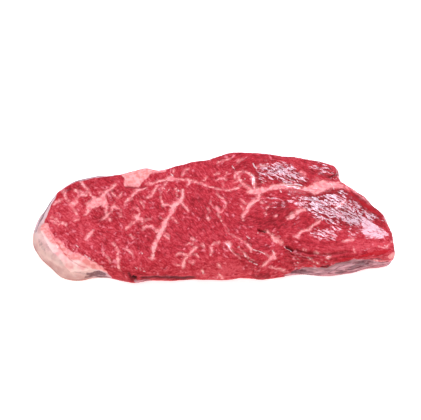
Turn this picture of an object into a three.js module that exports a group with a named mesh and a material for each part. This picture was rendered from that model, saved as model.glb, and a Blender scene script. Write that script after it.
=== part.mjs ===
// A raw sirloin steak, lying flat on its lower cut face. It is one piece of meat, so it is one solid:
// a cut face on top, a soft edge all round and a flat foot. The fat cap is at -X, the thin tip at +X.
// Millimetres, +Z up. The origin is the middle of the box at the surface that the steak lies on.

import * as THREE from "three";
import { ImprovedNoise } from "three/addons/math/ImprovedNoise.js";
import { mergeGeometries, mergeVertices } from "three/addons/utils/BufferGeometryUtils.js";

// Driving sizes
const THICKNESS = 20; // of the slice, where it is neither swollen nor thinned
const BREADTH_CELLS = 32; // faces across the cut face
const LENGTH_CELLS = 84; // faces along it
const SHOULDER_RINGS = 5; // rings of faces from the cut face down to the widest line
const TUCK_RINGS = 3; // rings from there down to the foot
const NORMAL_SPREAD = 5; // neighbours each way that an edge direction is averaged over

// The widest line of the steak seen from above, anticlockwise, in four stretches
const FRONT = [
  [-98.5, -39], [-90.5, -46], [-80, -48.5], [-68, -46.5], [-58, -48], [-48, -51], [-38, -49.5],
  [-24, -49.5], [-8, -48], [6, -48.5], [18, -46], [31, -47.5], [43, -45], [54, -42.5], [68, -44],
  [84, -41.5],
];
const TIP = [
  [97, -38], [106, -37], [111.2, -34.5], [112, -20], [109.5, -5], [102, 5.5], [93, 13], [86, 18.5],
];
const BACK = [
  [82.3, 23], [81.5, 30.8], [73.6, 35], [60, 39.5], [44, 44], [26, 48], [12, 48], [1, 43.5], [-12, 39.5],
  [-24, 35], [-34, 31.5], [-43, 34], [-51, 32], [-60, 29], [-76, 28], [-88, 25],
];
const CAP = [
  [-97, 17.5], [-103.2, 5.3], [-108, -7.5], [-110.5, -17], [-109.5, -25], [-105, -32.5],
];
// Shares of the way round at which the four sides of the cut face meet
const CORNERS = { frontLeft: 0, frontRight: 0.375, backRight: 0.51, backLeft: 0.875 };

// The edge's section, at named places round the steak: how far the shoulder and the tuck lie in from
// the widest line, how high that line is, and how round the shoulder is: 1 is a quarter of an ellipse
// and less is squarer. Each place counts for REACH around it.
const REACH = 22;
const SECTIONS = [
  { place: "fat cap, front", at: [-100, -41], shoulder: 6, tuck: 6, height: 8, round: 0.6 },
  { place: "fat cap, side", at: [-113, -18], shoulder: 7, tuck: 5, height: 8, round: 0.6 },
  { place: "left shoulder", at: [-99, 15], shoulder: 9, tuck: 6, height: 9, round: 0.8 },
  { place: "front, where the cap ends", at: [-64, -47], shoulder: 9, tuck: 8, height: 9, round: 0.8 },
  { place: "front, overhanging", at: [-36, -49], shoulder: 13, tuck: 12, height: 10, round: 0.9 },
  { place: "front, middle", at: [0, -48], shoulder: 16, tuck: 9, height: 8, round: 1 },
  { place: "front, rolled down", at: [32, -48], shoulder: 17, tuck: 7, height: 6, round: 1 },
  { place: "front, over the membrane", at: [62, -44], shoulder: 13, tuck: 4, height: 7, round: 0.9 },
  { place: "front, deepest membrane", at: [84, -42], shoulder: 7, tuck: 2, height: 12, round: 0.7 },
  { place: "tip, front", at: [101, -37], shoulder: 8, tuck: 3, height: 9, round: 0.8 },
  { place: "tip", at: [113, -24], shoulder: 10, tuck: 4, height: 9, round: 0.9 },
  { place: "tip, back", at: [100, 7], shoulder: 11, tuck: 6, height: 8, round: 1 },
  { place: "end of the upper muscle", at: [80, 34], shoulder: 5, tuck: 8, height: 12, round: 0.7 },
  { place: "back, right", at: [40, 47], shoulder: 8, tuck: 6, height: 10, round: 0.9 },
  { place: "back, middle", at: [0, 44], shoulder: 7, tuck: 6, height: 10, round: 0.9 },
  { place: "back, fat wedge", at: [-42, 35], shoulder: 5, tuck: 6, height: 10, round: 0.7 },
  { place: "back, left", at: [-74, 27], shoulder: 7, tuck: 6, height: 9, round: 0.9 },
];

// Broad swellings and hollows of the cut face: where, how high, and how far each spreads
const SWELLINGS = [
  { name: "lower muscle", at: [66, 2], rise: 5.5, spread: [34, 24] },
  { name: "upper muscle", at: [50, 32], rise: 3.5, spread: [30, 12] },
  { name: "eye of the loin", at: [-30, -6], rise: 1.8, spread: [42, 26] },
  { name: "fat cap", at: [-104, -28], rise: -1.5, spread: [18, 20] },
  { name: "tip", at: [112, -26], rise: -4.5, spread: [22, 30] },
  { name: "front hollow", at: [44, -36], rise: -2.5, spread: [16, 12] },
  { name: "dip behind the cap", at: [-84, 6], rise: -1, spread: [16, 18] },
];

// Grooves in the cut face, where muscles meet each other or fat: a path, a depth and a width
const GROOVES = [
  { name: "between upper and lower muscle", depth: 2.4, width: 4.5,
    path: [[22, 10], [32, 13], [44, 14], [53, 11], [65, 9.5], [72, 14], [80, 17]] },
  { name: "thin seam", depth: 0.8, width: 3,
    path: [[-44, 15], [-36, 18], [-28, 21], [-18, 20.5], [-7, 15.5], [6, 11.5], [16, 12.5], [22, 10]] },
  { name: "below the fat wedge", depth: 1.4, width: 3,
    path: [[-57, 22], [-55, 15], [-47, 15], [-40, 22]] },
  { name: "inner edge of the fat cap", depth: 0.9, width: 3.5,
    path: [[-101, -15], [-95, -26], [-86, -35], [-70, -44]] },
  { name: "front crease", depth: 2, width: 4, path: [[34, -25], [43, -32], [52, -40], [70, -43]] },
];

// Unevenness of the flesh: the height of each size of lump, by how far apart the lumps lie
const LUMPS = [
  { spacing: 34, height: 1.6 },
  { spacing: 15, height: 0.8 },
  { spacing: 7, height: 0.35 },
];
// Coarse bundles of fibre that stand proud in the thick muscles at the right: how high, how far apart
// across and along the fibre, which way they run, and where they start and are full
const BUNDLES = { height: 1.3, across: 6, along: 22, slant: -0.35, from: 25, full: 60 };
const EDGE_LUMPS = { spacing: 13, height: 1.4, ringSpacing: 3 }; // on the soft edge, in mm and in rings

// Calculation
const BUNDLE_LAYER = 3.7; // the layer of the noise that the bundles of fibre are read from
const FAR_WEIGHT = 1e-6; // that a section far away still counts for, so that the weights never add to nothing
const MERGE_GAP = 1e-3; // points closer than this are one

const noise = new ImprovedNoise();

const outline = new THREE.CatmullRomCurve3(
  [...FRONT, ...TIP, ...BACK, ...CAP].map(([x, y]) => new THREE.Vector3(x, y, 0)),
  true,
  "centripetal",
);
outline.arcLengthDivisions = 1200;

/** Shares of the outline's length at which its points lie, side by side of the cut face. */
function outlineShares() {
  const { frontLeft, frontRight, backRight, backLeft } = CORNERS;
  const stops = [frontLeft, frontRight, backRight, backLeft, 1];
  const counts = [LENGTH_CELLS, BREADTH_CELLS, LENGTH_CELLS, BREADTH_CELLS];
  return counts.flatMap((count, side) =>
    Array.from({ length: count }, (_, i) => THREE.MathUtils.lerp(stops[side], stops[side + 1], i / count)),
  );
}

/** The widest line's points, each with its inward direction and its edge section. */
function edgePoints() {
  const shares = outlineShares();
  const points = shares.map((share) => outline.getPointAt(share));
  const inward = shares.map((share) => {
    const along = outline.getTangentAt(share);
    return new THREE.Vector3(-along.y, along.x, 0);
  });
  return points.map((point, i) => {
    const direction = new THREE.Vector3();
    for (let j = -NORMAL_SPREAD; j <= NORMAL_SPREAD; j++) {
      direction.add(inward.at((i + j) % inward.length));
    }
    return { point, inward: direction.normalize(), ...sectionAt(point) };
  });
}

/** The edge's section at a point of the widest line, blended from the named places near it. */
function sectionAt(point) {
  const blended = { shoulder: 0, tuck: 0, height: 0, round: 0 };
  let total = 0;
  for (const section of SECTIONS) {
    const distance = Math.hypot(point.x - section.at[0], point.y - section.at[1]);
    const weight = Math.exp(-((distance / REACH) ** 2)) + FAR_WEIGHT;
    total += weight;
    for (const size of Object.keys(blended)) blended[size] += weight * section[size];
  }
  for (const size of Object.keys(blended)) blended[size] /= total;
  return blended;
}

/** Distance from (x, y) to a path of straight stretches. */
function distanceToPath(x, y, path) {
  let nearest = Infinity;
  for (let i = 1; i < path.length; i++) {
    const [ax, ay] = path[i - 1];
    const [bx, by] = path[i];
    const share = ((x - ax) * (bx - ax) + (y - ay) * (by - ay)) / ((bx - ax) ** 2 + (by - ay) ** 2);
    const t = THREE.MathUtils.clamp(share, 0, 1);
    nearest = Math.min(nearest, Math.hypot(x - ax - t * (bx - ax), y - ay - t * (by - ay)));
  }
  return nearest;
}

/** Height of the cut face over the foot at (x, y). */
function cutFaceHeight(x, y) {
  let height = THICKNESS;
  for (const { at, rise, spread } of SWELLINGS) {
    height += rise * Math.exp(-(((x - at[0]) / spread[0]) ** 2) - ((y - at[1]) / spread[1]) ** 2);
  }
  for (const { path, depth, width } of GROOVES) {
    height -= depth * Math.exp(-((distanceToPath(x, y, path) / width) ** 2));
  }
  for (const { spacing, height: lump } of LUMPS) {
    height += lump * noise.noise(x / spacing, y / spacing, spacing);
  }
  return height + fibreBundles(x, y);
}

/** Height that the bundles of fibre add to the cut face at (x, y). */
function fibreBundles(x, y) {
  const along = x + BUNDLES.slant * y;
  const across = y - BUNDLES.slant * x;
  const share = THREE.MathUtils.smoothstep(x, BUNDLES.from, BUNDLES.full);
  return share * BUNDLES.height * noise.noise(along / BUNDLES.along, across / BUNDLES.across, BUNDLE_LAYER);
}

/** Point of the edge at a ring of its section, from the foot's rim at ring 0 up to the cut face's. */
function edgeAt(edge, ring) {
  const { point, inward, shoulder, tuck, height, round } = edge;
  const swell = EDGE_LUMPS.height * Math.sin((Math.PI * ring) / (TUCK_RINGS + SHOULDER_RINGS));
  const layer = ring / EDGE_LUMPS.ringSpacing;
  const lump = swell * noise.noise(point.x / EDGE_LUMPS.spacing, point.y / EDGE_LUMPS.spacing, layer);
  const inset = (amount, z) => point.clone().addScaledVector(inward, amount - lump).setZ(z);
  if (ring <= TUCK_RINGS) {
    const angle = (Math.PI / 2) * (1 - ring / TUCK_RINGS);
    return inset(tuck * (1 - Math.cos(angle)), height * (1 - Math.sin(angle)));
  }
  const angle = (Math.PI / 2) * (1 - (ring - TUCK_RINGS) / SHOULDER_RINGS);
  const rim = inset(shoulder, 0);
  const top = cutFaceHeight(rim.x, rim.y);
  const rise = (top - height) * Math.cos(angle) ** round;
  return inset(shoulder * (1 - Math.sin(angle) ** round), height + rise);
}

/** The cut face: a sheet of faces stretched between the four sides of its rim. */
function cutFace(edges) {
  const rim = edges.map((edge) => edgeAt(edge, TUCK_RINGS + SHOULDER_RINGS));
  const at = (index) => rim[index % rim.length];
  const front = (i) => at(i);
  const right = (j) => at(LENGTH_CELLS + j);
  const back = (i) => at(2 * LENGTH_CELLS + BREADTH_CELLS - i);
  const left = (j) => at(2 * (LENGTH_CELLS + BREADTH_CELLS) - j);
  const sheet = new THREE.PlaneGeometry(1, 1, LENGTH_CELLS, BREADTH_CELLS);
  const { position, uv } = sheet.attributes;
  for (let k = 0; k < position.count; k++) {
    const i = Math.round(uv.getX(k) * LENGTH_CELLS);
    const j = Math.round(uv.getY(k) * BREADTH_CELLS);
    const s = i / LENGTH_CELLS;
    const t = j / BREADTH_CELLS;
    const between = (side) =>
      (1 - t) * front(i)[side] + t * back(i)[side] + (1 - s) * left(j)[side] + s * right(j)[side]
      - (1 - s) * (1 - t) * front(0)[side] - s * (1 - t) * right(0)[side]
      - s * t * back(LENGTH_CELLS)[side] - (1 - s) * t * left(BREADTH_CELLS)[side];
    const x = between("x");
    const y = between("y");
    position.setXYZ(k, x, y, cutFaceHeight(x, y));
  }
  return sheet;
}

/** The soft edge: rings of faces from the foot's rim up to the cut face's. */
function softEdge(edges) {
  const rings = TUCK_RINGS + SHOULDER_RINGS;
  const sheet = new THREE.PlaneGeometry(1, 1, edges.length, rings);
  const { position, uv } = sheet.attributes;
  for (let k = 0; k < position.count; k++) {
    const i = Math.round(uv.getX(k) * edges.length) % edges.length;
    const ring = Math.round(uv.getY(k) * rings);
    const { x, y, z } = edgeAt(edges[i], ring);
    position.setXYZ(k, x, y, z);
  }
  return sheet;
}

/** The flat foot, facing down. */
function foot(edges) {
  const rim = edges.map((edge) => edgeAt(edge, 0));
  const mirrored = new THREE.Shape(rim.map(({ x, y }) => new THREE.Vector2(x, -y)));
  return new THREE.ShapeGeometry(mirrored).rotateX(Math.PI);
}

/** The whole steak as one closed surface. */
function steakGeometry() {
  const edges = edgePoints();
  const pieces = [cutFace(edges), softEdge(edges), foot(edges)].map((piece) =>
    piece.deleteAttribute("normal").deleteAttribute("uv"),
  );
  const whole = mergeVertices(mergeGeometries(pieces), MERGE_GAP);
  whole.computeVertexNormals();
  whole.computeBoundingBox();
  const middle = whole.boundingBox.getCenter(new THREE.Vector3());
  return whole.translate(-middle.x, -middle.y, 0);
}

const rawBeef = new THREE.MeshStandardMaterial({ color: 0xc43e4c, roughness: 0.4, metalness: 0 });

const steak = new THREE.Mesh(steakGeometry(), rawBeef);
steak.name = "sirloin_steak";

const part = new THREE.Group();
part.name = "raw_sirloin_steak";
part.add(steak);

export default part;
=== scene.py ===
"""A raw sirloin steak lying on a pale table: its marbled flesh, its fat and skin, and the studio light on it.

The steak's own frame is in metres: +X from the fat cap to the thin tip, +Y towards its back edge and +Z up
from the surface that it lies on. Marks on the flesh, such as seams of fat, are drawn on it from above and
in front, through the camera: their places are in the camera's picture, which is 421 wide and 420 high.
"""

import logging
import math
import random
from collections.abc import Iterator, Sequence
from dataclasses import dataclass, field
from enum import Enum

import bpy
import numpy as np
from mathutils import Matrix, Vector, noise


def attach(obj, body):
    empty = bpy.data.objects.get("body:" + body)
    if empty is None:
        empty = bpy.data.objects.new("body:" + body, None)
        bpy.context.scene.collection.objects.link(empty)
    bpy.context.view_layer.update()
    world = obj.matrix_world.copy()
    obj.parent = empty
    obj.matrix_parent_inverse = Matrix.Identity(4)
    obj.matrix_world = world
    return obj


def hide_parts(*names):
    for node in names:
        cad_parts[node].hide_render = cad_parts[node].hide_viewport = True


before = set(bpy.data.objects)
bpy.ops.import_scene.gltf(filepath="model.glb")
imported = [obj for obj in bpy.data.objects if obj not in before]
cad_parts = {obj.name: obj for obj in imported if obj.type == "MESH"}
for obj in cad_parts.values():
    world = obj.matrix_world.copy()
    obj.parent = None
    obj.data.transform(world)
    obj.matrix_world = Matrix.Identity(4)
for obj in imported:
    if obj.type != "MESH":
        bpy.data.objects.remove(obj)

LOG = logging.getLogger("steak")
MM = 0.001
WAYS = 6  # directions of the straight threads that bent ones are mixed from
STEP = 180 // WAYS  # degrees between those
Place = tuple[float, float]
Pair = tuple[float, float]  # two sizes or two limits


def linear(colour: str) -> tuple[float, float, float, float]:
    """Turn an sRGB colour into a shader's linear one.

    Args:
        colour: the colour as six hex digits, such as "c83e4c".

    Returns:
        Red, green, blue and alpha, each from 0 to 1.
    """
    shares = [int(colour[i : i + 2], 16) / 255 for i in (0, 2, 4)]
    red, green, blue = (s / 12.92 if s <= 0.04045 else ((s + 0.055) / 1.055) ** 2.4 for s in shares)
    return (red, green, blue, 1.0)


def add_node(
    tree: bpy.types.NodeTree, kind: str, inputs: dict | None = None, output: int | str = 0,
    **settings: object,
) -> bpy.types.NodeSocket | None:
    """Add a node to a material with its settings, and link or set its inputs.

    Args:
        tree: the material's node tree.
        kind: the node's type without "ShaderNode".
        inputs: input name or number, and the socket to link or the value to set.
        output: name or number of the output that is wanted.
        settings: the node's own properties.

    Returns:
        That output, or None for a node that has none.
    """
    node = tree.nodes.new("ShaderNode" + kind)
    for name, value in settings.items():
        setattr(node, name, value)
    for key, value in (inputs or {}).items():
        if isinstance(value, bpy.types.NodeSocket):
            tree.links.new(value, node.inputs[key])
        else:
            node.inputs[key].default_value = value
    return node.outputs[output] if node.outputs else None


def ease(values: np.ndarray, low: float, high: float) -> np.ndarray:
    """Rise smoothly from 0 at low to 1 at high, or fall where low is the larger."""
    share = np.clip((values - low) / (high - low), 0, 1)
    return share * share * (3 - 2 * share)


def lumps(points: np.ndarray, spacing: float | Sequence[float], seed: float = 0.0) -> np.ndarray:
    """Irregular lumps in space.

    Args:
        points: places, one row each, in millimetres.
        spacing: how far apart the lumps lie, or one distance for each axis.
        seed: another seed gives other lumps.

    Returns:
        A height for each place, from about -1 to 1.
    """
    return np.array([noise.noise(Vector(p)) for p in points / np.array(spacing) + seed])


@dataclass(frozen=True)
class View:
    """The camera's stand and lens, which also place the marks on the flesh."""

    width: int = 421
    height: int = 420
    elevation: float = 50.0
    distance: float = 0.63
    lens: float = 85.0
    sensor: float = 36.0
    target: tuple[float, float, float] = (-0.0015, 0.0052, 0.010)

    def axes(self) -> tuple[np.ndarray, np.ndarray, np.ndarray]:
        """The camera's directions.

        Returns:
            Right, up and back.
        """
        tilt = math.radians(self.elevation)
        back = np.array([0.0, -math.cos(tilt), math.sin(tilt)])
        right = np.array([1.0, 0.0, 0.0])
        return right, np.cross(back, right), back

    def stand(self) -> np.ndarray:
        """Where the camera stands."""
        return np.array(self.target) + self.axes()[2] * self.distance

    def picture(self, points: np.ndarray) -> np.ndarray:
        """Places of points in the camera's picture.

        Args:
            points: points in metres, one row each.

        Returns:
            Columns to the right and rows down, in picture elements.
        """
        right, up, back = self.axes()
        from_camera = points - self.stand()
        depth = -from_camera @ back
        scale = self.width * self.lens / self.sensor / depth
        across = self.width / 2 + from_camera @ right * scale
        down = self.height / 2 - from_camera @ up * scale
        return np.stack([across, down], axis=1)

    def set_up(self) -> None:
        """Add the camera and make it the scene's."""
        bpy.ops.object.camera_add(location=self.stand())
        camera = bpy.context.object
        camera.name = "camera"
        camera.rotation_euler = (math.radians(90 - self.elevation), 0.0, 0.0)
        camera.data.lens = self.lens
        camera.data.sensor_width = self.sensor
        camera.data.clip_start = 0.01
        bpy.context.scene.camera = camera
        LOG.info("camera: %.0f degrees above the table, %.2f m away", self.elevation, self.distance)


def follow(places: np.ndarray, path: Sequence[Place]) -> tuple[np.ndarray, np.ndarray, np.ndarray]:
    """Measure places against a path of straight stretches.

    Args:
        places: places in the picture, one row each.
        path: the path's points in order.

    Returns:
        Each place's distance to the path, the side that it lies on as 1 or -1, and how far along the
        path its nearest point is, from 0 to 1.
    """
    points = np.array(path, float)
    nearest = np.full(len(places), np.inf)
    side = np.ones(len(places))
    share = np.zeros(len(places))
    for i, (start, end) in enumerate(zip(points[:-1], points[1:])):
        along = end - start
        reach = places - start
        part = np.clip(reach @ along / (along @ along), 0, 1)
        gap = reach - part[:, None] * along
        distance = np.hypot(gap[:, 0], gap[:, 1])
        closer = distance < nearest
        nearest[closer] = distance[closer]
        side[closer] = np.sign(along[0] * reach[closer, 1] - along[1] * reach[closer, 0])
        share[closer] = (i + part[closer]) / (len(points) - 1)
    return nearest, side, share


class Sheet:
    """The picture places of many points, sorted so that those near a mark are found fast."""

    def __init__(self, places: np.ndarray) -> None:
        """Sort the places by column.

        Args:
            places: places in the picture, one row each.
        """
        self.places = places
        self.order = np.argsort(places[:, 0])
        self.columns = places[self.order, 0]

    def near(self, path: Sequence[Place], reach: float) -> np.ndarray:
        """Find the points near a path.

        Args:
            path: the path's points.
            reach: how far from the box round the path a point may lie.

        Returns:
            The points' numbers.
        """
        low, high = np.min(path, axis=0) - reach, np.max(path, axis=0) + reach
        first, last = np.searchsorted(self.columns, (low[0], high[0]))
        near = self.order[first:last]
        rows = self.places[near, 1]
        return near[(rows > low[1]) & (rows < high[1])]

    def outside(self, marks: Sequence["Seam | Patch"], far: float = 10.0) -> np.ndarray:
        """Measure how far the nearest mark is.

        Args:
            marks: the marks.
            far: the most that is measured.

        Returns:
            Each point's distance from the edge of the nearest mark, below 0 within it.
        """
        least = np.full(len(self.places), far)
        for mark in marks:
            near = self.near(mark.path, far)
            least[near] = np.minimum(least[near], mark.outside(self.places[near]))
        return least


def inside(places: np.ndarray, outline: Sequence[Place]) -> np.ndarray:
    """Tell which places lie within a closed outline.

    Args:
        places: places in the picture, one row each.
        outline: the outline's corners in order.

    Returns:
        True for each place that does.
    """
    points = np.array(outline, float)
    within = np.zeros(len(places), bool)
    for (ax, ay), (bx, by) in zip(points, np.roll(points, -1, axis=0)):
        crosses = (ay > places[:, 1]) != (by > places[:, 1])
        at = ax + (bx - ax) * (places[:, 1] - ay) / (by - ay if by != ay else 1.0)
        within ^= crosses & (places[:, 0] < at)
    return within


@dataclass(frozen=True)
class Seam:
    """A thin layer of fat between bundles of muscle, seen as a line."""

    name: str
    path: Sequence[Place]
    widths: Sequence[float]  # along the path, in picture elements

    def outside(self, places: np.ndarray) -> np.ndarray:
        """Measure how far the seam's edge is.

        Args:
            places: places in the picture, one row each.

        Returns:
            Each place's distance from the edge, below 0 within the fat.
        """
        nearest, _, share = follow(places, self.path)
        widths = np.interp(share, np.linspace(0, 1, len(self.widths)), self.widths)
        return nearest - widths / 2


@dataclass(frozen=True)
class Patch:
    """A broad area of fat or skin."""

    name: str
    path: Sequence[Place]  # its outline
    deepest: float = 20.0  # the most that its middle counts as, in picture elements

    def outside(self, places: np.ndarray) -> np.ndarray:
        """Distance of each place from the patch's edge, below 0 within the patch."""
        nearest, _, _ = follow(places, [*self.path, self.path[0]])
        return np.where(inside(places, self.path), -np.minimum(nearest, self.deepest), nearest)


@dataclass(frozen=True)
class Fold:
    """A crease or tear in the flesh, with a lip on its far side."""

    name: str
    path: Sequence[Place]
    depth: float  # in millimetres
    width: float  # in picture elements
    lip: float = 0.3  # height of the lip as a share of the depth
    shade: float = 0.0  # how dark the blood and painted shade in it are
    taper: float = 0.12  # share of its length over which each end fades
    lip_at: float = 1.7  # how far the lip lies from the crease, in widths

    def relief(self, places: np.ndarray) -> tuple[np.ndarray, np.ndarray]:
        """Shape the flesh round the fold.

        Args:
            places: places in the picture, one row each.

        Returns:
            Each place's added height in millimetres, and how much dark blood and painted shade lie there.
        """
        nearest, side, share = follow(places, self.path)
        ends = ease(share, 0.0, self.taper) * ease(share, 1.0, 1 - self.taper)
        hollow = np.exp(-((nearest / self.width) ** 2)) * ends
        lip = np.exp(-(((side * nearest - self.lip_at * self.width) / self.width) ** 2)) * ends
        return self.depth * (self.lip * lip - hollow), hollow * self.shade


@dataclass(frozen=True)
class Spot:
    """A soft oval area in the picture."""

    at: Place
    reach: Pair  # half its length and half its breadth, in picture elements
    turn: float = 0.0  # degrees, clockwise in the picture
    amount: float = 1.0
    edge: Pair = (1.25, 0.7)  # where it ends and where it is full, as shares of its reach

    def weight(self, places: np.ndarray) -> np.ndarray:
        """Tell how much of the spot lies at each place.

        Args:
            places: places in the picture, one row each.

        Returns:
            The amount at each place, 0 outside the spot.
        """
        angle = math.radians(self.turn)
        gap = places - np.array(self.at)
        along = gap[:, 0] * math.cos(angle) + gap[:, 1] * math.sin(angle)
        across = gap[:, 1] * math.cos(angle) - gap[:, 0] * math.sin(angle)
        distance = np.hypot(along / self.reach[0], across / self.reach[1])
        return self.amount * ease(distance, *self.edge)


@dataclass(frozen=True)
class Grain:
    """The way that the fibres run near a place in the picture."""

    at: Place
    slant: float  # degrees, clockwise from level


@dataclass(frozen=True)
class Skin:
    """How far up the wall the skin and fat of the outside reach, near a place on the steak's edge."""

    name: str
    at: Place  # seen from above, in millimetres
    lip: float  # height at which the skin starts, in millimetres
    cover: float  # 0 for bare lean to 1 for skin all over


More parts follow.
